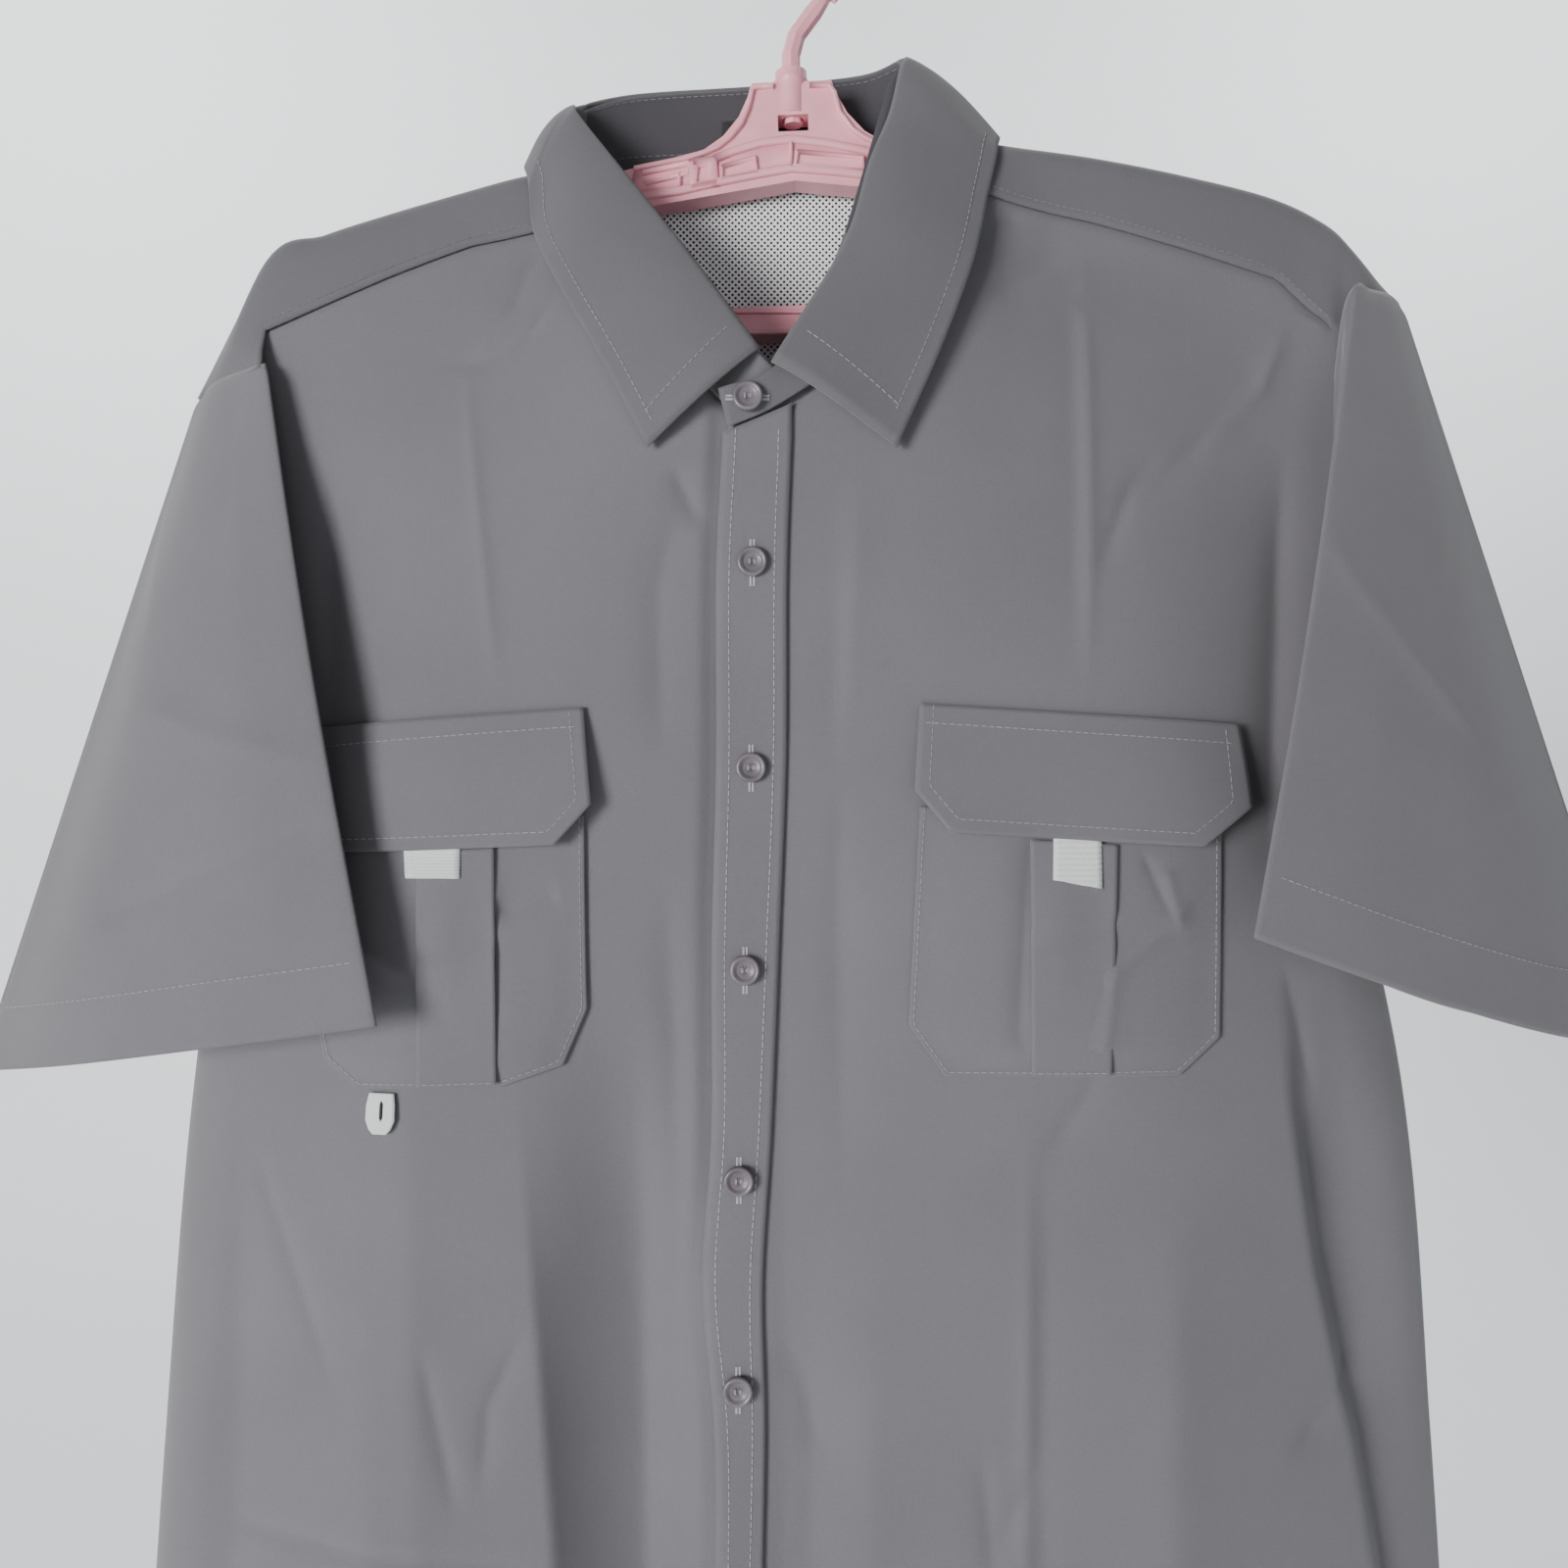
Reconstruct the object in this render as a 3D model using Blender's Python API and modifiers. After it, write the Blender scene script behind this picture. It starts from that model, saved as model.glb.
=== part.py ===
"""A short-sleeved hiking shirt, buttoned up, with the moulded hanger it hangs on.

Metres, +Z up. The front faces -Y and the wearer's left is +X. The origin is the inner top
of the hanger's hook, where a rail or a wall hook carries the hanger.
"""
import math

import bmesh
import bpy
import numpy as np
from mathutils import Matrix, Vector

WALL = 0.0012            # thickness of every cloth piece
GAP = 0.0016             # between the edges of front and back at a side seam
LAYER = 0.0016           # from one layer's middle to that of the layer sewn on it
PATCH_LIFT = 0.0021      # from the middle of a front to the middle of a pocket on it
SIDE_ROUND = 0.030       # how far in from a side seam the front turns round to it
YOKE_SEAM_BACK = -0.210  # height of the seam across the back
HEM = -0.842             # height of the hem at the middle of the body
HEM_RISE = 0.025         # how much higher the hem is at the side seams

# Outer edge of the body: armhole edge above the underarm, side seam below it.
# height, x on the right, x on the left, y of the front's edge, y of the back's edge
EDGE = (
    (-0.900, -0.275, 0.288, 0.000, 0.000),
    (-0.820, -0.272, 0.285, 0.000, 0.000),
    (-0.650, -0.262, 0.275, 0.000, 0.000),
    (-0.500, -0.250, 0.262, 0.000, 0.000),
    (-0.400, -0.236, 0.242, 0.000, 0.000),
    (-0.340, -0.220, 0.233, -0.006, 0.006),
    (-0.260, -0.212, 0.228, -0.009, 0.010),
    (-0.184, -0.217, 0.228, -0.010, 0.011),
    (-0.150, -0.217, 0.228, -0.010, 0.011),
)

# Depth of the front's middle surface at each distance from the hook's line.
STATIONS = (0.0, 0.05, 0.10, 0.15, 0.20, 0.25, 0.29)
FRONT_DEPTH = (
    (-0.900, (-0.045, -0.050, -0.052, -0.051, -0.044, -0.034, -0.026)),
    (-0.650, (-0.045, -0.050, -0.052, -0.050, -0.042, -0.030, -0.022)),
    (-0.450, (-0.045, -0.049, -0.050, -0.047, -0.036, -0.022, -0.016)),
    (-0.350, (-0.046, -0.047, -0.046, -0.042, -0.028, -0.016, -0.012)),
    (-0.240, (-0.046, -0.044, -0.038, -0.031, -0.019, -0.012, -0.010)),
    (-0.190, (-0.046, -0.040, -0.028, -0.020, -0.013, -0.011, -0.010)),
    (-0.145, (-0.045, -0.034, -0.015, -0.012, -0.011, -0.010, -0.010)),
    (-0.100, (-0.045, -0.030, -0.013, -0.012, -0.011, -0.010, -0.010)),
)
BACK_DEPTH = (
    (-0.900, (0.018, 0.020, 0.022, 0.022, 0.019, 0.015, 0.012)),
    (-0.450, (0.016, 0.018, 0.020, 0.019, 0.016, 0.013, 0.011)),
    (-0.210, (0.014, 0.015, 0.015, 0.014, 0.013, 0.012, 0.011)),
    (-0.100, (0.012, 0.012, 0.011, 0.011, 0.011, 0.011, 0.011)),
)

# Top edge of each front: the neckline from the middle, then the yoke seam. x, height
TOP_RIGHT = (
    (-0.2170, -0.1870), (-0.1623, -0.1645), (-0.1306, -0.1524), (-0.1037, -0.1471),
    (-0.0920, -0.1460), (-0.0800, -0.1610), (-0.0600, -0.1900), (-0.0330, -0.2200),
    (-0.0120, -0.2370), (0.0060, -0.2370),
)
TOP_LEFT = (
    (-0.0320, -0.2410), (-0.0220, -0.2385), (0.0014, -0.2290), (0.0250, -0.2120),
    (0.0500, -0.1840), (0.0690, -0.1450), (0.0780, -0.1320), (0.0860, -0.1330),
    (0.1292, -0.1421), (0.1654, -0.1524), (0.2073, -0.1657), (0.2284, -0.1853),
)

# The collar, from the right front round the neck to the left front: bottom edge of the
# stand, the fold between stand and leaf, and the leaf's outer edge.
STAND_BOTTOM = (
    (0.0030, -0.0430, -0.2310), (-0.0120, -0.0435, -0.2350), (-0.0330, -0.0455, -0.2180),
    (-0.0590, -0.0415, -0.1880), (-0.0840, -0.0270, -0.1480), (-0.0925, -0.0095, -0.1205),
    (-0.0915, 0.0010, -0.1180), (-0.0640, 0.0085, -0.1110), (-0.0100, 0.0105, -0.1080),
    (0.0420, 0.0090, -0.1060), (0.0700, 0.0010, -0.1050), (0.0745, -0.0100, -0.1120),
    (0.0675, -0.0260, -0.1420), (0.0490, -0.0425, -0.1820), (0.0240, -0.0475, -0.2100),
    (-0.0030, -0.0490, -0.2290), (-0.0220, -0.0490, -0.2375),
)
FOLD_LINE = (
    (0.0010, -0.0450, -0.2170), (-0.0095, -0.0500, -0.2090), (-0.0230, -0.0440, -0.1885),
    (-0.0385, -0.0365, -0.1670), (-0.0640, -0.0230, -0.1310), (-0.0860, -0.0080, -0.0985),
    (-0.0880, 0.0020, -0.0895), (-0.0640, 0.0100, -0.0790), (-0.0100, 0.0125, -0.0740),
    (0.0330, 0.0095, -0.0710), (0.0490, -0.0020, -0.0700), (0.0440, -0.0090, -0.0830),
    (0.0340, -0.0200, -0.1200), (0.0220, -0.0330, -0.1620), (0.0100, -0.0440, -0.1900),
    (-0.0050, -0.0505, -0.2150), (-0.0260, -0.0500, -0.2225),
)
# The leaf that turns down over the stand: where it leaves the fold, and its outer edge.
LEAF = (
    ((-0.0095, -0.0530, -0.2075), (-0.0538, -0.0490, -0.2455)),
    ((-0.0370, -0.0430, -0.1675), (-0.0700, -0.0475, -0.2140)),
    ((-0.0640, -0.0275, -0.1295), (-0.0890, -0.0365, -0.1800)),
    ((-0.0850, -0.0130, -0.0990), (-0.1030, -0.0205, -0.1510)),
    ((-0.0885, -0.0060, -0.0905), (-0.1065, -0.0155, -0.1270)),
    ((-0.0895, 0.0020, -0.0870), (-0.1080, -0.0010, -0.1130)),
    ((-0.0645, 0.0120, -0.0765), (-0.0800, 0.0170, -0.1120)),
    ((-0.0100, 0.0145, -0.0715), (-0.0100, 0.0205, -0.1130)),
    ((0.0340, 0.0115, -0.0685), (0.0560, 0.0175, -0.1060)),
    ((0.0510, -0.0010, -0.0675), (0.0885, 0.0000, -0.1010)),
    ((0.0490, -0.0080, -0.0750), (0.0890, -0.0140, -0.1130)),
    ((0.0440, -0.0160, -0.0980), (0.0840, -0.0225, -0.1350)),
    ((0.0350, -0.0260, -0.1230), (0.0760, -0.0385, -0.1680)),
    ((0.0235, -0.0385, -0.1620), (0.0620, -0.0475, -0.2060)),
    ((-0.0050, -0.0535, -0.2130), (0.0444, -0.0505, -0.2458)),
)

# The yoke over each shoulder, from the neck to the armhole: front seam, ridge, back seam.
YOKE_RIGHT = (
    ((-0.0950, -0.0145, -0.1435), (-0.0985, 0.0000, -0.1175), (-0.0900, 0.0150, YOKE_SEAM_BACK)),
    ((-0.1100, -0.0125, -0.1460), (-0.1120, 0.0000, -0.1190), (-0.1100, 0.0150, YOKE_SEAM_BACK)),
    ((-0.1306, -0.0115, -0.1502), (-0.1394, 0.0000, -0.1262), (-0.1350, 0.0145, YOKE_SEAM_BACK)),
    ((-0.1623, -0.0110, -0.1618), (-0.1700, 0.0000, -0.1352), (-0.1650, 0.0140, YOKE_SEAM_BACK)),
    ((-0.1920, -0.0110, -0.1725), (-0.1950, 0.0000, -0.1435), (-0.1930, 0.0130, YOKE_SEAM_BACK)),
    ((-0.2165, -0.0105, -0.1825), (-0.2190, 0.0000, -0.1535), (-0.2140, 0.0120, YOKE_SEAM_BACK)),
    ((-0.2160, -0.0220, -0.2060), (-0.2510, 0.0000, -0.2130), (-0.2200, 0.0120, YOKE_SEAM_BACK)),
)
YOKE_LEFT = (
    ((0.0810, -0.0145, -0.1295), (0.0800, 0.0000, -0.1035), (0.0750, 0.0150, YOKE_SEAM_BACK)),
    ((0.0950, -0.0130, -0.1330), (0.1000, 0.0000, -0.1065), (0.0950, 0.0150, YOKE_SEAM_BACK)),
    ((0.1292, -0.0120, -0.1399), (0.1320, 0.0000, -0.1110), (0.1280, 0.0145, YOKE_SEAM_BACK)),
    ((0.1654, -0.0115, -0.1502), (0.1680, 0.0000, -0.1180), (0.1640, 0.0140, YOKE_SEAM_BACK)),
    ((0.2073, -0.0110, -0.1635), (0.2050, 0.0000, -0.1275), (0.2040, 0.0130, YOKE_SEAM_BACK)),
    ((0.2270, -0.0120, -0.1825), (0.2290, 0.0000, -0.1385), (0.2280, 0.0120, YOKE_SEAM_BACK)),
    ((0.2340, -0.0190, -0.1725), (0.2640, 0.0000, -0.1740), (0.2380, 0.0120, YOKE_SEAM_BACK)),
)

# Each sleeve, round the tube from the top over the front fold: armhole point, hem point.
SLEEVE_RIGHT = (
    ((-0.2520, 0.0000, -0.2160), (-0.3450, 0.0000, -0.5010)),
    ((-0.2400, -0.0120, -0.2130), (-0.2850, -0.0430, -0.4900)),
    ((-0.2250, -0.0190, -0.2100), (-0.2200, -0.0660, -0.4790)),
    ((-0.2130, -0.0235, -0.2085), (-0.1536, -0.0750, -0.4690)),
    ((-0.2190, -0.0150, -0.2110), (-0.1900, -0.0630, -0.4740)),
    ((-0.2140, -0.0105, -0.2600), (-0.2250, -0.0500, -0.4810)),
    ((-0.2220, -0.0080, -0.3400), (-0.2500, -0.0340, -0.4870)),
    ((-0.2390, -0.0010, -0.4010), (-0.2700, -0.0160, -0.4920)),
    ((-0.2220, 0.0080, -0.3400), (-0.2950, 0.0020, -0.4970)),
    ((-0.2145, 0.0115, -0.2600), (-0.3180, 0.0070, -0.5000)),
    ((-0.2230, 0.0125, -0.2145), (-0.3350, 0.0060, -0.5010)),
)
SLEEVE_LEFT = (
    ((0.2660, 0.0000, -0.1765), (0.3680, 0.0000, -0.4900)),
    ((0.2560, -0.0110, -0.1760), (0.3100, -0.0380, -0.4790)),
    ((0.2450, -0.0170, -0.1755), (0.2450, -0.0620, -0.4600)),
    ((0.2360, -0.0210, -0.1745), (0.1768, -0.0760, -0.4360)),
    ((0.2325, -0.0165, -0.1890), (0.2120, -0.0650, -0.4480)),
    ((0.2305, -0.0120, -0.2400), (0.2440, -0.0500, -0.4600)),
    ((0.2335, -0.0085, -0.3200), (0.2680, -0.0340, -0.4680)),
    ((0.2440, -0.0010, -0.3860), (0.2900, -0.0160, -0.4740)),
    ((0.2335, 0.0085, -0.3200), (0.3150, 0.0020, -0.4800)),
    ((0.2310, 0.0120, -0.2400), (0.3400, 0.0070, -0.4860)),
    ((0.2395, 0.0130, -0.2145), (0.3560, 0.0060, -0.4890)),
)

# The placket's two edges down the front. height, x of its free edge, x of its inner edge
PLACKET = (
    (-0.842, -0.0290, -0.0050), (-0.700, -0.0270, -0.0085), (-0.627, -0.0275, -0.0075),
    (-0.579, -0.0320, -0.0085), (-0.516, -0.0285, -0.0050), (-0.443, -0.0283, -0.0020),
    (-0.370, -0.0266, 0.0008), (-0.285, -0.0263, 0.0014), (-0.241, -0.0240, 0.0030),
)
BUTTON_HEIGHTS = (-0.2905, -0.3715, -0.4512, -0.5340, -0.6165, -0.6990)
COLLAR_BUTTON = (-0.0142, -0.2262)
BUTTON_RADIUS = 0.0060
BUTTON_THICKNESS = 0.0024

# Largest folds of the fronts: path down the cloth (x, height), then width and depth.
RIGHT_FOLD = ((-0.084, -0.842), (-0.0913, -0.673), (-0.1030, -0.518), (-0.1107, -0.347))
RIGHT_FOLD_DEPTH = 0.012
RIGHT_FOLD_RUN = 0.030
LEFT_FOLD = ((0.262, -0.842), (0.2266, -0.642), (0.2100, -0.570), (0.2005, -0.503), (0.198, -0.44))
LEFT_FOLD_DEPTH = 0.012
LEFT_FOLD_RUN = 0.012

# Pieces sewn on the front, level by level down the cloth:
# x and height of the left end as seen from the front, x and height of the right end.
POCKET_LEFT = ((0.0535, -0.3870, 0.1745, -0.3870), (0.0490, -0.4725, 0.1720, -0.4780),
               (0.0630, -0.4925, 0.1550, -0.4925))
FLAP_LEFT = ((0.0535, -0.3465, 0.1820, -0.3545), (0.0510, -0.3805, 0.1830, -0.3880),
             (0.0650, -0.3970, 0.1620, -0.4030))
STRIP_LEFT = ((0.0960, -0.4000, 0.1300, -0.4020), (0.0965, -0.4915, 0.1275, -0.4915))
TAB_LEFT = ((0.1050, -0.3950, 0.1235, -0.3965), (0.1045, -0.4155, 0.1235, -0.4190))
POCKET_RIGHT = ((-0.1900, -0.3900, -0.0785, -0.3900), (-0.1860, -0.4700, -0.0775, -0.4660),
                (-0.1820, -0.4870, -0.0870, -0.4880), (-0.1680, -0.4980, -0.1100, -0.4960))
FLAP_RIGHT = ((-0.1950, -0.3560, -0.0790, -0.3480), (-0.1970, -0.3900, -0.0750, -0.3860),
              (-0.1820, -0.4060, -0.0890, -0.4020))
STRIP_RIGHT = ((-0.1430, -0.4050, -0.1130, -0.4030), (-0.1430, -0.4965, -0.1120, -0.4950))
TAB_RIGHT = ((-0.1480, -0.4010, -0.1260, -0.4010), (-0.1470, -0.4150, -0.1260, -0.4150))
LOOP = ((-0.1620, -0.4995, -0.1530, -0.4995), (-0.1640, -0.5090, -0.1525, -0.5090),
        (-0.1610, -0.5150, -0.1555, -0.5150))
PATCH_STEP = 0.018       # longest side of a face in a sewn-on piece

CLOTH_COLOUR = (0.22, 0.215, 0.235)
MESH_COLOUR = (0.62, 0.62, 0.64)
WEBBING_COLOUR = (0.57, 0.62, 0.60)
LABEL_COLOUR = (0.012, 0.012, 0.014)
BUTTON_COLOUR = (0.18, 0.16, 0.19)
HANGER_COLOUR = (0.68, 0.39, 0.44)

# The hanger, in its own upright frame; it hangs tilted about the hook.
TILT = math.radians(2.3)
HANGER_HALF_DEPTH = 0.006
ROD_RADIUS = 0.004
HOOK_RADIUS = 0.025
HOOK_CENTRE = -0.021
ARM_TOP = (
    (0.0000, -0.0800), (0.0168, -0.0800), (0.0190, -0.0860), (0.0230, -0.0940),
    (0.0300, -0.1020), (0.0386, -0.1075), (0.0800, -0.1165), (0.1000, -0.1185),
    (0.1300, -0.1230), (0.1700, -0.1315), (0.1950, -0.1395), (0.2080, -0.1450),
)
ARM_END = ((0.2135, -0.1480), (0.2160, -0.1525), (0.2155, -0.1580), (0.2095, -0.1670),
           (0.2000, -0.1750), (0.1870, -0.1830), (0.1720, -0.1870))
BAR_BOTTOM = -0.1870
ARM_GAP = ((0.0000, -0.1220), (0.0800, -0.1330), (0.1600, -0.1470), (0.1780, -0.1520),
           (0.1860, -0.1590), (0.1790, -0.1690), (0.1650, -0.1750), (0.0000, -0.1750))
# Recesses in the front of the plate: x from, x to, height from, height to
RECESSES = (
    (-0.0600, -0.0420, -0.1235, -0.1165), (-0.0310, -0.0130, -0.1190, -0.1120),
    (0.0130, 0.0310, -0.1190, -0.1120), (0.0420, 0.0600, -0.1235, -0.1165),
)


def smooth_value(keys, values, at):
    """Value of a smooth curve through (key, value) pairs whose keys rise."""
    k = int(np.clip(np.searchsorted(keys, at) - 1, 0, len(keys) - 2))
    slopes = np.gradient(values, keys)
    span = keys[k + 1] - keys[k]
    t = float(np.clip((at - keys[k]) / span, 0.0, 1.0))
    start = (1 + 2 * t) * (1 - t) ** 2 * values[k] + t * (1 - t) ** 2 * span * slopes[k]
    end = t * t * (3 - 2 * t) * values[k + 1] - t * t * (1 - t) * span * slopes[k + 1]
    return start + end


def through(rows, at):
    """Point of a smooth curve through a table's rows, at 0 for the first and 1 for the last."""
    rows = np.asarray(rows, float)
    places = np.arange(len(rows), dtype=float)
    place = at * (len(rows) - 1)
    return np.array([smooth_value(places, rows[:, k], place) for k in range(rows.shape[1])])


def edge(z, column):
    """A column of the EDGE table at height z."""
    rows = np.array(EDGE)
    return smooth_value(rows[:, 0], rows[:, column], z)


def table_depth(table, x, z):
    """Depth read from a table of heights and stations."""
    heights = np.array([row[0] for row in table])
    across = np.array([smooth_value(np.array(STATIONS), np.array(row[1]), abs(x)) for row in table])
    return smooth_value(heights, across, z)


def ramp(t):
    """0 below 0, 1 above 1, smooth between."""
    t = min(max(t, 0.0), 1.0)
    return t * t * (3 - 2 * t)


def fold_offset(x, z):
    """How far the large folds push the front back at x, z."""
    path = np.array(RIGHT_FOLD)
    past = x - np.interp(z, path[:, 1], path[:, 0])
    grow = ramp((-0.42 - z) / 0.22)
    right = ramp(past / RIGHT_FOLD_RUN) * (1 - ramp((past - RIGHT_FOLD_RUN) / 0.034))
    path = np.array(LEFT_FOLD)
    beyond = x - np.interp(z, path[:, 1], path[:, 0])
    start = ramp((-0.44 - z) / 0.10)
    left = ramp(beyond / LEFT_FOLD_RUN) * (1 - ramp((beyond - 0.02) / 0.05))
    return RIGHT_FOLD_DEPTH * grow * right + LEFT_FOLD_DEPTH * start * left


def body_y(x, z, back=False):
    """Depth of the middle surface of the fronts or of the back."""
    outer = abs(edge(z, 1 if x < 0 else 2))
    edge_y = max(edge(z, 4), 0.0) + GAP / 2 if back else min(edge(z, 3), 0.0) - GAP / 2
    depth = table_depth(BACK_DEPTH if back else FRONT_DEPTH, x, z)
    if not back:
        depth += fold_offset(x, z)
    near = min(max((abs(x) - (outer - SIDE_ROUND)) / SIDE_ROUND, 0.0), 1.0)
    return edge_y + (depth - edge_y) * math.sqrt(1 - near * near)


def on_front(x, z, out):
    """A point on the front, moved out from it along its normal."""
    step = 0.004
    dx = (body_y(x + step, z) - body_y(x - step, z)) / (2 * step)
    dz = (body_y(x, z + step) - body_y(x, z - step)) / (2 * step)
    normal = np.array((dx, -1.0, dz))
    return np.array((x, body_y(x, z), z)) + out * normal / np.linalg.norm(normal)


def hem(x):
    """Height of the hem at x."""
    return HEM + HEM_RISE * ramp((abs(x) - 0.12) / 0.15)


def top_of(table, x):
    """Height of a front's top edge at x."""
    rows = np.array(table)
    return float(np.interp(x, rows[:, 0], rows[:, 1]))


def material(name, colour, roughness):
    """A plain finish."""
    made = bpy.data.materials.new(name)
    made.use_nodes = True
    shader = made.node_tree.nodes["Principled BSDF"]
    shader.inputs["Base Color"].default_value = (*colour, 1.0)
    shader.inputs["Roughness"].default_value = roughness
    shader.inputs["Metallic"].default_value = 0.0
    return made


def add_object(name, mesh, finish):
    """Link a mesh to the shirt's collection with its own finish."""
    made = bpy.data.objects.new(name, mesh)
    mesh.materials.append(material(f"{name}_finish", *finish))
    bpy.data.collections[COLLECTION].objects.link(made)
    return made


def grid_mesh(name, grids, closed=False):
    """Mesh through one or more grids of points, joined where their points meet."""
    shape = bmesh.new()
    for grid in grids:
        rows = [[shape.verts.new(Vector(point)) for point in row] for row in grid]
        for above, below in zip(rows, rows[1:]):
            count = len(above) if closed else len(above) - 1
            for k in range(count):
                after = (k + 1) % len(above)
                shape.faces.new((above[k], below[k], below[after], above[after]))
    bmesh.ops.remove_doubles(shape, verts=shape.verts, dist=0.00005)
    bmesh.ops.recalc_face_normals(shape, faces=shape.faces)
    mesh = bpy.data.meshes.new(name)
    shape.to_mesh(mesh)
    shape.free()
    mesh.shade_smooth()
    return mesh


def cloth(name, grids, finish, wall=WALL, closed=False):
    """A cloth piece: a wall centred on its middle surface."""
    made = add_object(name, grid_mesh(name, grids, closed), finish)
    solid = made.modifiers.new("wall", "SOLIDIFY")
    solid.thickness = wall
    solid.offset = 0.0
    solid.use_even_offset = True
    return made


def spread(start, end, count):
    """Values from start to end, both included."""
    return np.linspace(start, end, count)


def panel_column(x_at, top, bottom, back, rows, out=0.0):
    """One column of a body panel, from its top edge to the hem."""
    z_top = top(x_at(-0.20))
    for _ in range(12):
        z_top = top(x_at(z_top))
    z_low = bottom(x_at(HEM))
    points = []
    for z in spread(z_top, z_low, rows):
        x = x_at(z)
        points.append((x, body_y(x, z, back) + out, z))
    return points


def dense(count):
    """0 to 1 in steps that grow finer towards 1, where the cloth turns to its side seam."""
    return [math.sin(t * math.pi / 2) for t in spread(0.0, 1.0, count)]


FRONT_COLUMNS, FRONT_LINES = 14, 25


def fronts():
    """The two fronts; the left one lies over the right one under the placket."""
    rows = np.array(PLACKET)

    def right_x(u):
        return lambda z: inner_right(z) + (edge(z, 1) - inner_right(z)) * u

    def inner_right(z):
        return float(np.interp(z, rows[:, 0], rows[:, 2])) - 0.004

    def left_x(u):
        return lambda z: inner_left(z) + (edge(z, 2) - inner_left(z)) * u

    def inner_left(z):
        return float(np.interp(z, rows[:, 0], rows[:, 1])) + 0.003

    def under(x, z):
        covered = float(np.interp(z, rows[:, 0], rows[:, 1]))
        return 0.0021 * ramp((x - covered + 0.012) / 0.010)

    columns = []
    inside = (0.0, 0.045, 0.09, 0.125)
    for u in inside + tuple(0.125 + 0.875 * t for t in dense(FRONT_COLUMNS - 3)[1:]):
        column = panel_column(right_x(u), lambda x: top_of(TOP_RIGHT, x), hem, False, FRONT_LINES)
        columns.append([(x, y + under(x, z), z) for x, y, z in column])
    cloth("front_right", [columns], (CLOTH_COLOUR, 0.8))
    inside = (0.0, 0.04, 0.09)
    columns = [panel_column(left_x(u), lambda x: top_of(TOP_LEFT, x), hem, False, FRONT_LINES)
               for u in inside + tuple(0.09 + 0.91 * t for t in dense(FRONT_COLUMNS - 2)[1:])]
    cloth("front_left", [columns], (CLOTH_COLOUR, 0.8))


def placket():
    """The folded band down the left front that the buttons sit on."""
    rows = np.array(PLACKET)
    columns = []
    for u in spread(0.0, 1.0, 4):
        def x_at(z):
            left = float(np.interp(z, rows[:, 0], rows[:, 1]))
            right = float(np.interp(z, rows[:, 0], rows[:, 2]))
            return left + (right - left) * u
        columns.append(panel_column(x_at, lambda x: top_of(TOP_LEFT, x), hem, False,
                                    FRONT_LINES, -LAYER))
    cloth("placket", [columns], (CLOTH_COLOUR, 0.8))


def back():
    """The back below the yoke seam."""
    columns = []
    for u in spread(-1.0, 1.0, 23):
        v = math.sin(u * math.pi / 2)

        def x_at(z):
            return edge(z, 2) * v if v > 0 else -edge(z, 1) * v
        columns.append(panel_column(x_at, lambda x: YOKE_SEAM_BACK - 0.001, hem, True, 16))
    cloth("back", [columns], (CLOTH_COLOUR, 0.8))


def yoke_ribs(stations, count, lines):
    """Cross-sections of the yoke over a shoulder, each from front seam over ridge to back."""
    ribs = []
    for s in spread(0.0, 1.0, count):
        front = through([row[0] for row in stations], s)
        ridge = through([row[1] for row in stations], s)
        low = through([row[2] for row in stations], s)
        round_y = 0.0085
        knee_front = ridge + np.array((0.0, -round_y, -0.0022))
        knee_front = knee_front + (front - ridge) * np.array((0.25, 0.0, 0.06))
        knee_back = ridge + np.array((0.0, round_y, -0.0022))
        knee_back = knee_back + (low - ridge) * np.array((0.10, 0.0, 0.03))
        rib = [front, (front + knee_front) / 2 + np.array((0, -0.0008, 0)), knee_front, ridge]
        rib += [knee_back + (low - knee_back) * t for t in spread(0.0, 1.0, lines)]
        ribs.append(rib)
    return ribs


def nape_column(t, first, last):
    """Top and foot of the yoke's back at t across it, between its two shoulders."""
    top = through(STAND_BOTTOM[6:11], t)
    head = top + np.array((0.004 * (2 * t - 1), 0.0030, 0.001))
    foot = np.array((first[0] + (last[0] - first[0]) * t, 0.0155, YOKE_SEAM_BACK))
    return head, foot


NAPE_LEVELS = (0.0, 0.08, 0.31, 0.54, 0.77, 1.0)


def yoke():
    """The yoke over both shoulders and across the back, in one piece, and its mesh lining."""
    right = yoke_ribs(YOKE_RIGHT, 11, 5)
    left = yoke_ribs(YOKE_LEFT, 11, 5)
    first = np.array(right[0][3:])
    last = np.array(left[0][3:])
    middle = [first]
    lining = []
    for k in range(1, 7):
        head, foot = nape_column(k / 7, first[-1], last[-1])
        middle.append(np.array([head + (foot - head) * v for v in NAPE_LEVELS]))
        lining.append([head + (foot - head) * v - np.array((0.0, 0.0019, 0.0))
                       for v in (0.06, 0.31, 0.54, 0.77, 0.98)])
    middle.append(last)
    cloth("yoke", [right, middle, left], (CLOTH_COLOUR, 0.8))
    cloth("yoke_lining", [lining], (MESH_COLOUR, 0.9), 0.0010)


LEAF_TOPS = tuple(row[0] for row in LEAF)
LEAF_EDGES = tuple(row[1] for row in LEAF)


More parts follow.
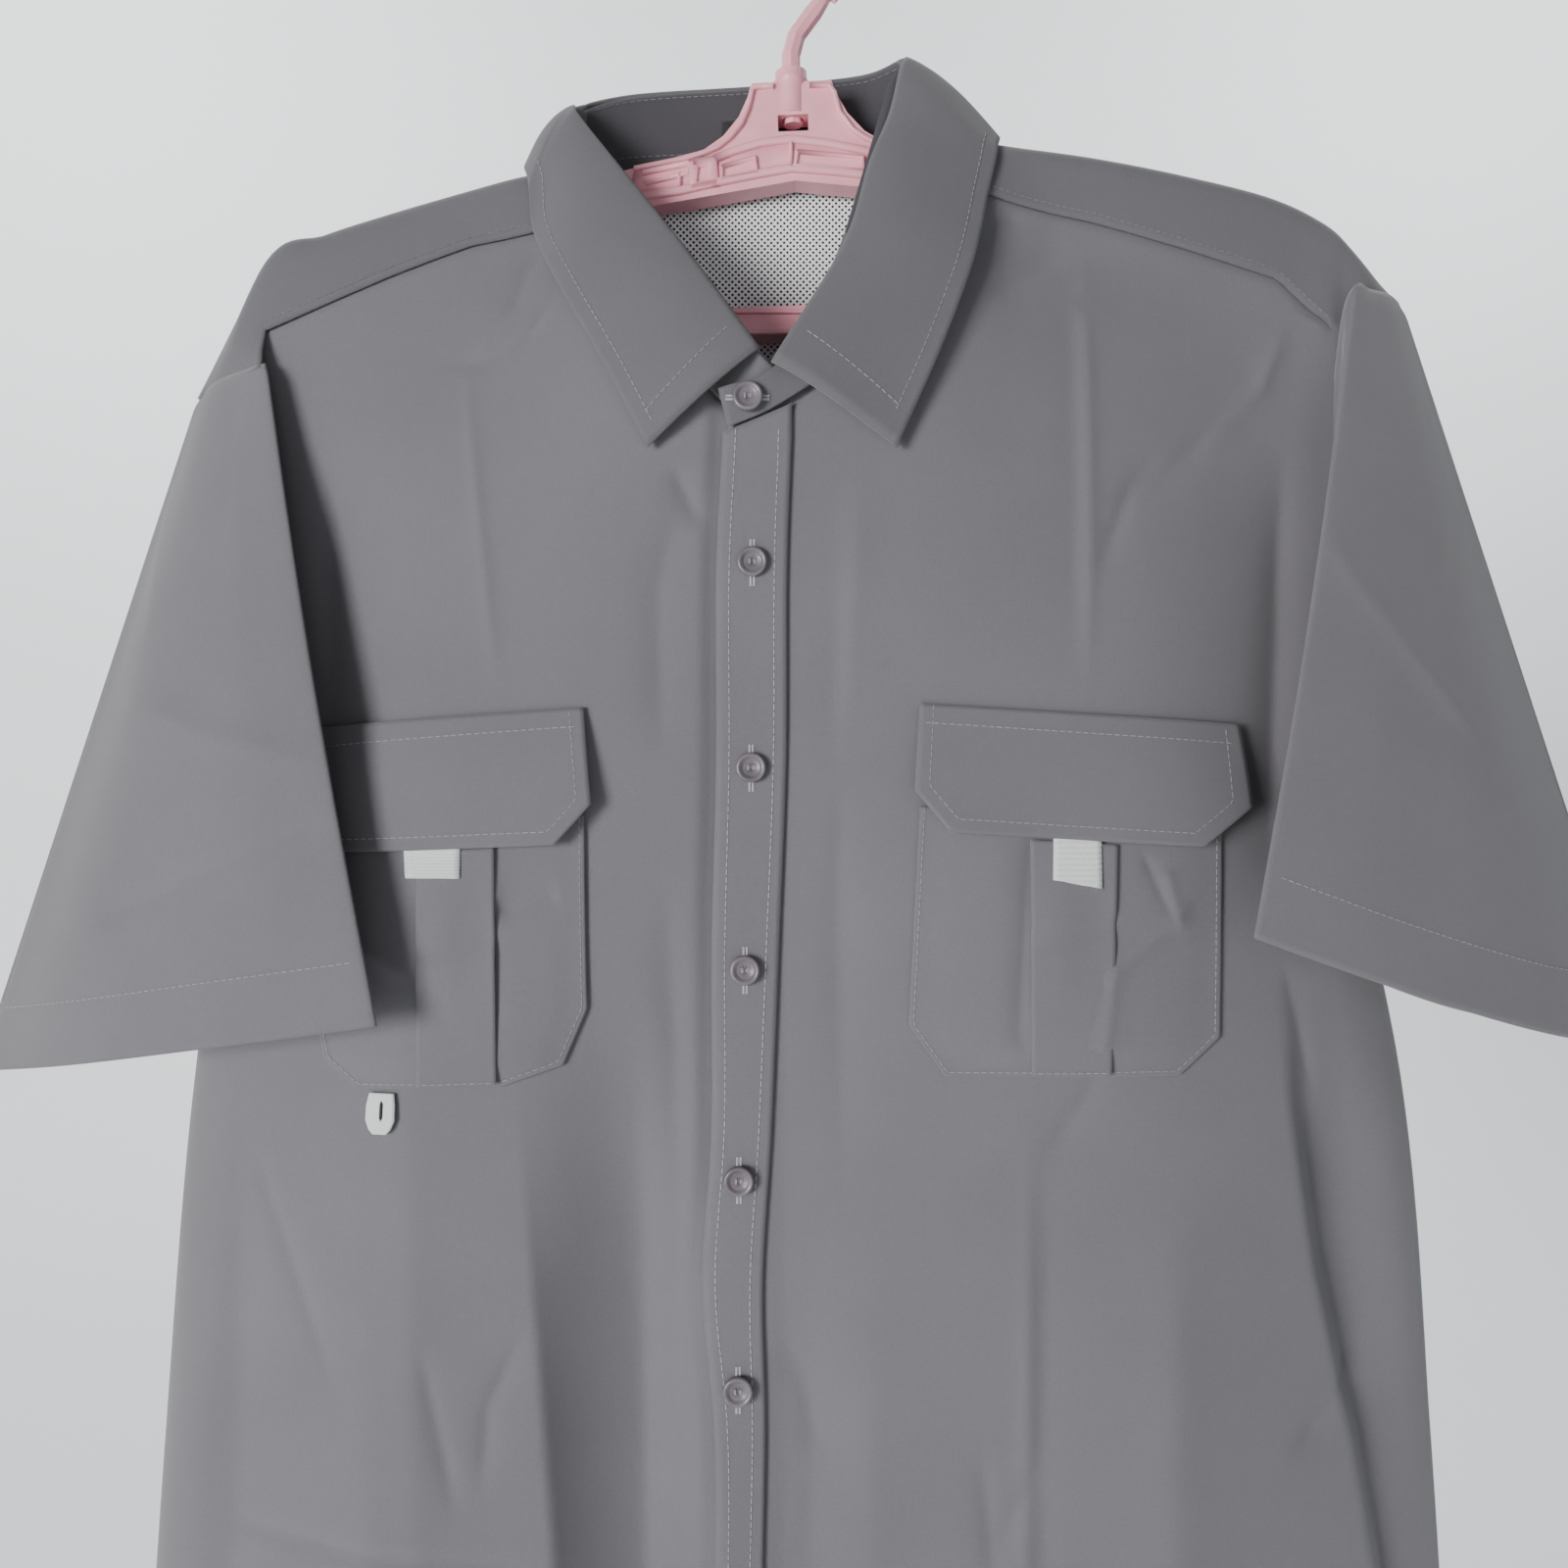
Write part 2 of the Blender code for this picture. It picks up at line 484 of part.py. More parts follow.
def collar():
    """The stand round the neck and the leaf that turns down over it."""
    stations = 34
    ring = []
    for t in spread(0.0, 1.0, stations):
        low = through(STAND_BOTTOM, t)
        high = through(FOLD_LINE, t)
        ring.append([low, low + (high - low) * 0.5, high])
    cloth("collar_stand", [ring], (CLOTH_COLOUR, 0.8))
    fall = []
    for t in spread(0.0, 1.0, stations):
        top = through(LEAF_TOPS, t)
        low = through(LEAF_EDGES, t)
        run = low - top
        out = np.cross(run, through(LEAF_TOPS, min(t + 0.01, 1.0)) - through(LEAF_TOPS, max(t - 0.01, 0.0)))
        out = out / np.linalg.norm(out)
        if out[1] * (1 if low[1] > 0.005 else -1) < 0:
            out = -out
        bulge = 0.0025 * out
        fall.append([top, top + run * 0.3 + bulge, top + run * 0.65 + bulge, low])
    cloth("collar_leaf", [fall], (CLOTH_COLOUR, 0.8))


def sleeve(name, rows):
    """A sleeve: a tube from the armhole to its flattened hem, open at both ends."""
    count = 24
    armhole = [row[0] for row in rows] + [rows[0][0]]
    hem_ring = [row[1] for row in rows] + [rows[0][1]]
    rings = []
    for v in spread(0.0, 1.0, 8):
        ring = []
        for k in range(count):
            start = through(armhole, k / count)
            end = through(hem_ring, k / count)
            point = start + (end - start) * v
            lift = 0.007 * math.sin(math.pi * v) * ramp(-(end[1]) / 0.05)
            ring.append(point + np.array((0.0, -lift, 0.0)))
        rings.append(ring)
    cloth(name, [rings], (CLOTH_COLOUR, 0.8), WALL, True)


def patch(name, levels, lift_top, lift_low, finish):
    """A flat piece sewn on the front, its points taken from the front and moved out."""
    widest = max(right - left for left, _, right, _ in levels)
    columns = max(2, math.ceil(widest / PATCH_STEP)) + 1
    top = max(levels[0][1], levels[0][3])
    height = top - min(levels[-1][1], levels[-1][3])
    grid = []
    for k, (upper, lower) in enumerate(zip(levels, levels[1:])):
        steps = max(1, math.ceil((upper[1] - lower[1]) / PATCH_STEP))
        for step in range(0 if k == 0 else 1, steps + 1):
            t = step / steps
            x0, z0, x1, z1 = (np.array(upper) * (1 - t) + np.array(lower) * t)
            row = []
            for u in spread(0.0, 1.0, columns):
                x, z = x0 + (x1 - x0) * u, z0 + (z1 - z0) * u
                row.append(on_front(x, z, lift_top + (lift_low - lift_top) * (top - z) / height))
            grid.append(row)
    return cloth(name, [grid], finish)


def pockets():
    """Two chest pockets, each with a pleat strip, a flap and a pull tab."""
    finish = (CLOTH_COLOUR, 0.8)
    webbing = (WEBBING_COLOUR, 0.7)
    for side, pocket, flap, strip, tab in (
        ("left", POCKET_LEFT, FLAP_LEFT, STRIP_LEFT, TAB_LEFT),
        ("right", POCKET_RIGHT, FLAP_RIGHT, STRIP_RIGHT, TAB_RIGHT),
    ):
        patch(f"pocket_{side}", pocket, PATCH_LIFT, PATCH_LIFT, finish)
        patch(f"pocket_strip_{side}", strip, PATCH_LIFT + LAYER, PATCH_LIFT + LAYER, finish)
        patch(f"pull_tab_{side}", tab, PATCH_LIFT + 2 * LAYER, PATCH_LIFT + 2.6 * LAYER, webbing)
        patch(f"flap_{side}", flap, PATCH_LIFT, PATCH_LIFT + 4.2 * LAYER, finish)
    patch("utility_loop", LOOP, PATCH_LIFT, PATCH_LIFT + 0.001, webbing)


def neck_label():
    """The bare label inside the back of the stand."""
    grid = []
    for x in spread(-0.0270, 0.0170, 4):
        t = np.interp(x, (-0.064, -0.010, 0.042), (7, 8, 9)) / (len(STAND_BOTTOM) - 1)
        low, high = through(STAND_BOTTOM, t), through(FOLD_LINE, t)
        grid.append([(x, (low + (high - low) * v)[1] - LAYER, (low + (high - low) * v)[2])
                     for v in (0.10, 0.60)])
    cloth("neck_label", [grid], (LABEL_COLOUR, 0.7))


def button(name, centre, normal):
    """A round button with a raised rim, turned about its own axis."""
    profile = ((0.0, 0.0009), (0.0036, 0.0009), (0.0044, 0.0012), (0.0055, 0.0012),
               (0.0060, 0.0006), (0.0060, -0.0004), (0.0050, -0.0012), (0.0, -0.0012))
    mesh = bpy.data.meshes.new(name)
    shape = bmesh.new()
    points = [shape.verts.new((radius, 0.0, height)) for radius, height in profile]
    for first, second in zip(points, points[1:]):
        shape.edges.new((first, second))
    shape.to_mesh(mesh)
    shape.free()
    made = add_object(name, mesh, (BUTTON_COLOUR, 0.35))
    turn = made.modifiers.new("turn", "SCREW")
    turn.steps = 16
    turn.render_steps = 16
    turn.use_merge_vertices = True
    turn.merge_threshold = 0.00005
    turn.use_normal_calculate = True
    made.rotation_mode = "QUATERNION"
    made.rotation_quaternion = Vector(normal).to_track_quat("Z", "Y")
    made.location = Vector(centre)


def buttons():
    """Six buttons down the placket and one on the collar stand."""
    rows = np.array(PLACKET)
    seat = LAYER + WALL / 2 + 0.0007 + BUTTON_THICKNESS / 2
    for k, z in enumerate(BUTTON_HEIGHTS):
        x = (np.interp(z, rows[:, 0], rows[:, 1]) + np.interp(z, rows[:, 0], rows[:, 2])) / 2
        middle = body_y(x, z)
        button(f"button_{k + 1}", (x, middle - seat, z), (0.0, -1.0, 0.0))
    x, z = COLLAR_BUTTON
    button("button_collar", (x, -0.0530, z), (0.0, -1.0, 0.06))


def tilted(mesh):
    """Turn a piece of the hanger from its own frame to the way it hangs."""
    mesh.transform(Matrix.Rotation(-TILT, 4, "Y"))


def outline_curve(name, outlines, half_depth):
    """A flat plate of the given outlines, standing in the XZ plane."""
    curve = bpy.data.curves.new(name, "CURVE")
    curve.dimensions = "2D"
    curve.fill_mode = "BOTH"
    curve.extrude = half_depth
    for outline in outlines:
        spline = curve.splines.new("POLY")
        spline.points.add(len(outline) - 1)
        for point, (x, z) in zip(spline.points, outline):
            point.co = (x, z, 0.0, 1.0)
        spline.use_cyclic_u = True
    return curve


def to_mesh(name, curve, turn):
    """The mesh of a curve, its caps welded, turned by a matrix."""
    holder = bpy.data.objects.new(f"{name}_curve", curve)
    bpy.context.scene.collection.objects.link(holder)
    bpy.context.view_layer.update()
    graph = bpy.context.evaluated_depsgraph_get()
    mesh = bpy.data.meshes.new_from_object(holder.evaluated_get(graph))
    bpy.data.objects.remove(holder)
    shape = bmesh.new()
    shape.from_mesh(mesh)
    bmesh.ops.remove_doubles(shape, verts=shape.verts, dist=0.00002)
    bmesh.ops.transform(shape, matrix=turn, verts=shape.verts)
    bmesh.ops.recalc_face_normals(shape, faces=shape.faces)
    shape.to_mesh(mesh)
    shape.free()
    return mesh


def cutter(name, mesh):
    """A hidden shape that another piece is cut or joined with."""
    made = bpy.data.objects.new(name, mesh)
    bpy.data.collections["cutters"].objects.link(made)
    made.hide_render = True
    made.display_type = "WIRE"
    return made


def box_mesh(name, low, high):
    """A closed box between two corners."""
    shape = bmesh.new()
    bmesh.ops.create_cube(shape, size=1.0)
    size = Vector(high) - Vector(low)
    bmesh.ops.scale(shape, vec=size, verts=shape.verts)
    bmesh.ops.translate(shape, vec=(Vector(high) + Vector(low)) / 2, verts=shape.verts)
    mesh = bpy.data.meshes.new(name)
    shape.to_mesh(mesh)
    shape.free()
    return mesh


def drum_mesh(name, radius, low, high):
    """A closed upright cylinder about the hanger's middle."""
    shape = bmesh.new()
    bmesh.ops.create_cone(shape, cap_ends=True, segments=20, radius1=radius, radius2=radius,
                          depth=high - low)
    bmesh.ops.translate(shape, vec=(0.0, 0.0, (high + low) / 2), verts=shape.verts)
    mesh = bpy.data.meshes.new(name)
    shape.to_mesh(mesh)
    shape.free()
    return mesh


def combine(made, mesh, operation):
    """Cut a mesh from a piece, or join it to the piece."""
    tilted(mesh)
    step = made.modifiers.new(mesh.name, "BOOLEAN")
    step.operation = operation
    step.object = cutter(mesh.name, mesh)


def hanger():
    """The moulded frame with its trouser bar, and the hook that turns in its socket."""
    outer = list(ARM_TOP[1:]) + list(ARM_END)
    outer += [(-x, z) for x, z in reversed(outer)]
    gap = list(ARM_GAP[1:-1])
    inner = [ARM_GAP[0]] + gap + [ARM_GAP[-1]] + [(-x, z) for x, z in reversed(gap)]
    stand_up = Matrix.Rotation(math.radians(90), 4, "X")
    plate = outline_curve("hanger_plate", [outer, inner], HANGER_HALF_DEPTH)
    mesh = to_mesh("hanger_frame", plate, stand_up)
    tilted(mesh)
    frame = add_object("hanger_frame", mesh, (HANGER_COLOUR, 0.45))
    combine(frame, drum_mesh("socket", 0.0068, -0.0900, -0.0735), "UNION")
    combine(frame, drum_mesh("socket_bore", ROD_RADIUS + 0.0005, -0.1000, -0.0700), "DIFFERENCE")
    combine(frame, box_mesh("socket_window", (-0.0065, -0.0080, -0.1010), (0.0065, 0.0080, -0.0940)),
            "DIFFERENCE")
    for k, (x0, x1, z0, z1) in enumerate(RECESSES):
        low, high = (x0, -0.0080, z0), (x1, -0.0030, z1)
        combine(frame, box_mesh(f"recess_{k}", low, high), "DIFFERENCE")

    curve = bpy.data.curves.new("hanger_hook", "CURVE")
    curve.dimensions = "3D"
    curve.bevel_depth = ROD_RADIUS
    curve.bevel_resolution = 2
    curve.use_fill_caps = True
    points = [(0.0, -0.0960), (0.0, -0.0740), (0.0003, -0.0660), (0.0030, -0.0575),
              (0.0110, -0.0475), (0.0180, -0.0390)]
    for angle in spread(-38.0, 205.0, 20):
        turn = math.radians(angle)
        points.append((HOOK_RADIUS * math.cos(turn), HOOK_CENTRE - ROD_RADIUS
                       + HOOK_RADIUS * math.sin(turn)))
    spline = curve.splines.new("POLY")
    spline.points.add(len(points) - 1)
    for point, (x, z) in zip(spline.points, points):
        point.co = (x, 0.0, z, 1.0)
    hook = bpy.data.objects.new("hanger_hook", curve)
    curve.materials.append(material("hanger_hook_finish", HANGER_COLOUR, 0.45))
    bpy.data.collections[COLLECTION].objects.link(hook)
    hook.rotation_euler = (0.0, -TILT, 0.0)


COLLECTION = "hiking_shirt_on_hanger"


def main():
    """Clear the scene, then build every piece."""
    for old in list(bpy.data.objects):
        bpy.data.objects.remove(old)
    for name in (COLLECTION, "cutters"):
        bpy.context.scene.collection.children.link(bpy.data.collections.new(name))
    fronts()
    placket()
    back()
    yoke()
    collar()
    sleeve("sleeve_right", SLEEVE_RIGHT)
    sleeve("sleeve_left", SLEEVE_LEFT)
    pockets()
    neck_label()
    buttons()
    hanger()


main()
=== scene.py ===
"""Looks of a grey short-sleeved hiking shirt, buttoned up, on a pink moulded hanger."""
import math

import bmesh
import bpy
import numpy as np
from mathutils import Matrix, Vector
from mathutils.bvhtree import BVHTree


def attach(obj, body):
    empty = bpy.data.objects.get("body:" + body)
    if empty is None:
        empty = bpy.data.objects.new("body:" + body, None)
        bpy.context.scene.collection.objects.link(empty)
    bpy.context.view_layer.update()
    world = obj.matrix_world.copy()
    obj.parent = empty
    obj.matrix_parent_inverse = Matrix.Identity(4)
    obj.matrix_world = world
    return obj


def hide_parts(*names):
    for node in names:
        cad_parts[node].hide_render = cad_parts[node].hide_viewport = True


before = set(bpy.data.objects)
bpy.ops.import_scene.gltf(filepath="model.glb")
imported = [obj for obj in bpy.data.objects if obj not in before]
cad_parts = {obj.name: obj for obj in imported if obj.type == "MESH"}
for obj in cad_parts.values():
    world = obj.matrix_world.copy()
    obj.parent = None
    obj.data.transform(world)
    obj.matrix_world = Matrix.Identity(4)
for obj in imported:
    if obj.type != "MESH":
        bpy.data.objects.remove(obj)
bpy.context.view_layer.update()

WALL = 0.0009            # thickness of the cloth as shown
EDGE_GAP = 0.0004        # between the edges of front and back at a side seam
LAYER = 0.0016           # from one layer's middle to that of the layer sewn on it
PATCH_LIFT = 0.0019      # from the middle of a front to the middle of a pocket on it
SIDE_ROUND = 0.03        # how far in from a side seam the front turns round to it
YOKE_SEAM_BACK = -0.21   # height of the yoke's seam across the back
HEM = -0.842             # height of the hem in the middle
HEM_RISE = 0.025         # how much higher the hem is at the sides
HEM_LEVEL = 0.12         # half the width of the hem's level part
HEM_CURVE = 0.15         # width in which it then rises on each side
UNDERARM = -0.405        # height of the lowest place where body and sleeve meet
HANGER_CLEAR = 0.0092    # the back of the yoke stays behind the hanger's arms
STAND_TUCK = 0.38        # share of its height that the stand's back runs down inside the yoke
RIDGE_ROUND = 0.0085     # half of the yoke's round back over the hanger's arm
RIDGE_DROP = 0.0022      # how far the yoke has dropped at the ends of that round
TUCK = 0.007             # how far a front runs up under the yoke
YOKE_DIP = 0.0024        # how far a front dips back under the yoke
ARMHOLE_TUCK = 0.02      # how far front and back run out inside the sleeve
STITCH = 0.0021          # length of one stitch
STITCH_PITCH = 0.0031    # from one stitch to the next
THREAD = 0.0002          # radius of the sewing thread
STITCH_LIFT = 0.00062    # from a piece's middle to the stitches on it
STITCH_LIFT_THICK = 0.0008   # the same on the pieces of two layers
SLEEVE_STEP = 0.045      # mean way between two rows of a sleeve's table
SLEEVE_LENGTH = 0.29
SLEEVE_PUSH = np.array((0.4, 1.0, 0.2))    # share of a sleeve's creases along x, y and z
SLEEVE_STARTS = (-0.022, -0.012)           # rows of a sleeve above its seam, under the yoke
SLEEVE_HEM = 0.027       # from a sleeve's hem up to its stitches
POCKET_SIZE = np.array((0.124, 0.108))
BEFORE, BEHIND = -0.3, 0.3   # y from which rays find the shirt from the front and from the back
INSIDE_NECK = -0.004     # the same for the back of the stand, from inside the neck
COLLAR_INSET = 0.0065    # from the collar's edge to its stitches
YOKE_BACK = 0.0155       # y of the yoke at its seam in the middle of the back
YOKE_BLEND = 0.16        # share of the neck in which the yoke's back takes on its shoulders' depth
LINING_GAP = 0.0019      # from the yoke's middle to that of its lining
LEAF_BULGE = 0.003       # how far the collar leaf swells between its fold and its edge
# The stand's inner back within these limits gets the much darker cloth: painted deep shade.
PAINTED_SHADE_STAND = (-0.085, 0.066, -0.03)    # ends along x and front limit of the stand's inner back
LABEL_ENDS = (-0.027, 0.017)
CREASE_TIP = 0.25        # roundness of a crease's tip, in half widths
COLLAR_WALL = 0.0012     # thickness of the collar as shown
WAVE_PERIOD = 0.314      # length of one wave of the wave texture at a scale of 1

# How finely the pieces are divided
FRONT_COLUMNS, FRONT_ROWS = 150, 225
PLACKET_COLUMNS = 13
BACK_COLUMNS, BACK_ROWS = 130, 120
YOKE_RIBS, YOKE_FRONT_LINES, YOKE_BACK_LINES, YOKE_MIDDLE = 56, 15, 34, 44
LINING_LINES = 24
COLLAR_COLUMNS, STAND_ROWS, LEAF_ROWS = 150, 18, 26
SLEEVE_COLUMNS, SLEEVE_ROWS = 150, 110
THREAD_SIDES = 5

# One stitch: share of its length, share of its thread's radius
THREAD_PROFILE = ((0.0, 0.35), (0.18, 1.0), (0.82, 1.0), (1.0, 0.35))
BUTTON_SIDES, HOLE_SIDES = 40, 12

# Upper end of the tuck inside the sleeve, on the back, the right front and the left front:
# height, way in which it fades
TUCK_ENDS = ((-0.216, 0.01), (-0.208, 0.03), (-0.186, 0.01))

# Outer edge of the body: height, x on the right, x on the left, y of the front's and back's edge
EDGE = (
    (-0.9, -0.275, 0.288, 0.0, 0.0),
    (-0.82, -0.272, 0.285, 0.0, 0.0),
    (-0.65, -0.262, 0.275, 0.0, 0.0),
    (-0.5, -0.25, 0.262, 0.0, 0.0),
    (-0.4, -0.236, 0.242, 0.0, 0.0),
    (-0.34, -0.22, 0.233, -0.006, 0.006),
    (-0.26, -0.212, 0.228, -0.009, 0.01),
    (-0.184, -0.217, 0.228, -0.01, 0.011),
    (-0.15, -0.217, 0.228, -0.01, 0.011),
)

RIGHT, LEFT, FRONT_EDGE, BACK_EDGE = 1, 2, 3, 4   # columns of that table

# Depth of the middle surface at each distance from the hook's line, by height.
STATIONS = (0.0, 0.05, 0.1, 0.15, 0.2, 0.25, 0.29)
FRONT_DEPTH = (
    (-0.9, (-0.045, -0.05, -0.052, -0.051, -0.044, -0.034, -0.026)),
    (-0.65, (-0.045, -0.05, -0.052, -0.05, -0.042, -0.03, -0.022)),
    (-0.45, (-0.045, -0.049, -0.05, -0.047, -0.036, -0.022, -0.016)),
    (-0.35, (-0.046, -0.047, -0.046, -0.042, -0.028, -0.016, -0.012)),
    (-0.24, (-0.046, -0.044, -0.038, -0.031, -0.019, -0.012, -0.01)),
    (-0.19, (-0.046, -0.04, -0.028, -0.02, -0.013, -0.011, -0.01)),
    (-0.145, (-0.045, -0.034, -0.015, -0.012, -0.011, -0.01, -0.01)),
    (-0.1, (-0.045, -0.03, -0.013, -0.012, -0.011, -0.01, -0.01)),
)
BACK_DEPTH = (
    (-0.9, (0.018, 0.02, 0.022, 0.022, 0.019, 0.015, 0.012)),
    (-0.45, (0.016, 0.018, 0.02, 0.019, 0.016, 0.013, 0.011)),
    (-0.21, (0.014, 0.015, 0.015, 0.014, 0.013, 0.012, 0.011)),
    (-0.1, (0.012, 0.012, 0.011, 0.011, 0.011, 0.011, 0.011)),
)

# Top edge of each front: the yoke seam and the neckline. x, height
TOP_RIGHT = (
    (-0.217, -0.1865), (-0.1623, -0.164), (-0.1306, -0.152), (-0.1037, -0.1466),
    (-0.092, -0.146), (-0.08, -0.16), (-0.06, -0.188), (-0.033, -0.219),
    (-0.012, -0.2365), (0.006, -0.2365),
)
TOP_LEFT = (
    (-0.032, -0.241), (-0.022, -0.2382), (0.0014, -0.2286), (0.025, -0.211),
    (0.05, -0.183), (0.069, -0.144), (0.078, -0.132), (0.086, -0.1325),
    (0.1292, -0.1416), (0.1654, -0.152), (0.2073, -0.1652), (0.2284, -0.185),
)

# The collar from the right front round the neck to the left front.
STAND_BOTTOM = (
    (0.003, -0.043, -0.231), (-0.012, -0.0435, -0.235), (-0.033, -0.0455, -0.218),
    (-0.059, -0.0415, -0.188), (-0.084, -0.027, -0.148), (-0.0925, -0.0095, -0.1205),
    (-0.0915, 0.001, -0.118), (-0.064, 0.0085, -0.111), (-0.01, 0.0105, -0.108),
    (0.042, 0.009, -0.106), (0.07, 0.001, -0.105), (0.0745, -0.01, -0.112),
    (0.0675, -0.026, -0.142), (0.049, -0.0425, -0.182), (0.024, -0.0475, -0.21),
    (-0.003, -0.049, -0.229), (-0.022, -0.049, -0.2375),
)
NECK_BACK = slice(6, 11)     # rows of that table along the back of the neck
FOLD_LINE = (
    (0.001, -0.045, -0.217), (-0.0095, -0.05, -0.209), (-0.023, -0.044, -0.1885),
    (-0.0385, -0.0365, -0.167), (-0.064, -0.023, -0.131), (-0.086, -0.008, -0.0985),
    (-0.088, 0.002, -0.0895), (-0.064, 0.01, -0.079), (-0.01, 0.0125, -0.074),
    (0.033, 0.0095, -0.071), (0.049, -0.002, -0.07), (0.044, -0.009, -0.083),
    (0.034, -0.02, -0.12), (0.022, -0.033, -0.162), (0.01, -0.044, -0.19),
    (-0.005, -0.0505, -0.215), (-0.026, -0.05, -0.2225),
)
LEAF = (
    ((-0.0095, -0.053, -0.2075), (-0.0538, -0.049, -0.2455)),
    ((-0.037, -0.043, -0.1675), (-0.07, -0.0475, -0.214)),
    ((-0.064, -0.0275, -0.1295), (-0.089, -0.0365, -0.18)),
    ((-0.085, -0.013, -0.099), (-0.103, -0.0205, -0.151)),
    ((-0.0885, -0.006, -0.0905), (-0.1065, -0.0155, -0.127)),
    ((-0.0895, 0.002, -0.087), (-0.108, -0.001, -0.113)),
    ((-0.0645, 0.012, -0.0765), (-0.08, 0.017, -0.112)),
    ((-0.01, 0.0145, -0.0715), (-0.01, 0.0205, -0.113)),
    ((0.034, 0.0115, -0.0685), (0.056, 0.0175, -0.106)),
    ((0.051, -0.001, -0.0675), (0.0885, 0.0, -0.101)),
    ((0.049, -0.008, -0.075), (0.089, -0.014, -0.113)),
    ((0.044, -0.016, -0.098), (0.084, -0.0225, -0.135)),
    ((0.035, -0.026, -0.123), (0.076, -0.0385, -0.168)),
    ((0.0235, -0.0385, -0.162), (0.062, -0.0475, -0.206)),
    ((-0.005, -0.0535, -0.213), (0.0444, -0.0505, -0.2458)),
)
LEAF_TOPS = [row[0] for row in LEAF]
LEAF_EDGES = [row[1] for row in LEAF]

# The yoke over each shoulder, from the neck to the armhole: front seam, ridge, back seam.
YOKE_RIGHT = (
    ((-0.095, -0.0145, -0.1435), (-0.0985, 0.0, -0.1175), (-0.09, 0.015, YOKE_SEAM_BACK)),
    ((-0.11, -0.0125, -0.146), (-0.112, 0.0, -0.119), (-0.11, 0.015, YOKE_SEAM_BACK)),
    ((-0.1306, -0.0115, -0.1502), (-0.1394, 0.0, -0.1262), (-0.135, 0.0145, YOKE_SEAM_BACK)),
    ((-0.1623, -0.011, -0.1618), (-0.17, 0.0, -0.1352), (-0.165, 0.014, YOKE_SEAM_BACK)),
    ((-0.192, -0.011, -0.1725), (-0.195, 0.0, -0.1435), (-0.193, 0.013, YOKE_SEAM_BACK)),
    ((-0.2165, -0.0105, -0.1825), (-0.219, 0.0, -0.1535), (-0.214, 0.012, YOKE_SEAM_BACK)),
    ((-0.216, -0.022, -0.206), (-0.251, 0.0, -0.213), (-0.22, 0.012, YOKE_SEAM_BACK)),
)
YOKE_LEFT = (
    ((0.081, -0.0145, -0.1295), (0.08, 0.0, -0.1035), (0.075, 0.015, YOKE_SEAM_BACK)),
    ((0.095, -0.013, -0.133), (0.1, 0.0, -0.1065), (0.095, 0.015, YOKE_SEAM_BACK)),
    ((0.1292, -0.012, -0.1399), (0.132, 0.0, -0.111), (0.128, 0.0145, YOKE_SEAM_BACK)),
    ((0.1654, -0.0115, -0.1502), (0.168, 0.0, -0.118), (0.164, 0.014, YOKE_SEAM_BACK)),
    ((0.2073, -0.011, -0.1635), (0.205, 0.0, -0.1275), (0.204, 0.013, YOKE_SEAM_BACK)),
    ((0.227, -0.012, -0.183), (0.229, 0.0, -0.1385), (0.228, 0.012, YOKE_SEAM_BACK)),
    ((0.235, -0.011, -0.1885), (0.242, 0.0, -0.15), (0.232, 0.0122, YOKE_SEAM_BACK)),
    ((0.237, -0.0185, -0.174), (0.264, 0.0, -0.174), (0.238, 0.012, YOKE_SEAM_BACK)),
)

# Each sleeve, round the tube from the top over the front fold: armhole point, hem point.
SLEEVE_RIGHT = (
    ((-0.252, 0.0, -0.216), (-0.345, 0.0, -0.501)),
    ((-0.24, -0.012, -0.213), (-0.285, -0.043, -0.49)),
    ((-0.225, -0.019, -0.21), (-0.22, -0.066, -0.479)),
    ((-0.213, -0.0235, -0.2085), (-0.1536, -0.075, -0.469)),
    ((-0.219, -0.015, -0.211), (-0.19, -0.063, -0.474)),
    ((-0.214, -0.0105, -0.26), (-0.225, -0.05, -0.481)),
    ((-0.222, -0.008, -0.34), (-0.25, -0.034, -0.487)),
    ((-0.239, -0.001, -0.401), (-0.27, -0.016, -0.492)),
    ((-0.222, 0.008, -0.34), (-0.295, 0.002, -0.497)),
    ((-0.2145, 0.0115, -0.26), (-0.318, 0.007, -0.5)),
    ((-0.223, 0.0125, -0.2145), (-0.335, 0.006, -0.501)),
)
SLEEVE_LEFT = (
    ((0.266, 0.0, -0.1765), (0.368, 0.0, -0.49)),
    ((0.256, -0.011, -0.176), (0.31, -0.038, -0.479)),
    ((0.245, -0.017, -0.1755), (0.245, -0.062, -0.46)),
    ((0.236, -0.021, -0.1745), (0.1768, -0.076, -0.436)),
    ((0.2325, -0.0165, -0.189), (0.212, -0.065, -0.448)),
    ((0.2305, -0.012, -0.24), (0.244, -0.05, -0.46)),
    ((0.2335, -0.0085, -0.32), (0.268, -0.034, -0.468)),
    ((0.244, -0.001, -0.386), (0.29, -0.016, -0.474)),
    ((0.2335, 0.0085, -0.32), (0.315, 0.002, -0.48)),
    ((0.231, 0.012, -0.24), (0.34, 0.007, -0.486)),
    ((0.2395, 0.013, -0.2145), (0.356, 0.006, -0.489)),
)

# The placket's two edges down the front. height, x of its free edge, x of its inner edge
PLACKET = (
    (-0.842, -0.029, -0.005), (-0.7, -0.027, -0.0085), (-0.627, -0.0275, -0.0075),
    (-0.579, -0.032, -0.0085), (-0.516, -0.0285, -0.005), (-0.443, -0.0283, -0.002),
    (-0.37, -0.0266, 0.0008), (-0.285, -0.0263, 0.0014), (-0.241, -0.024, 0.003),
)

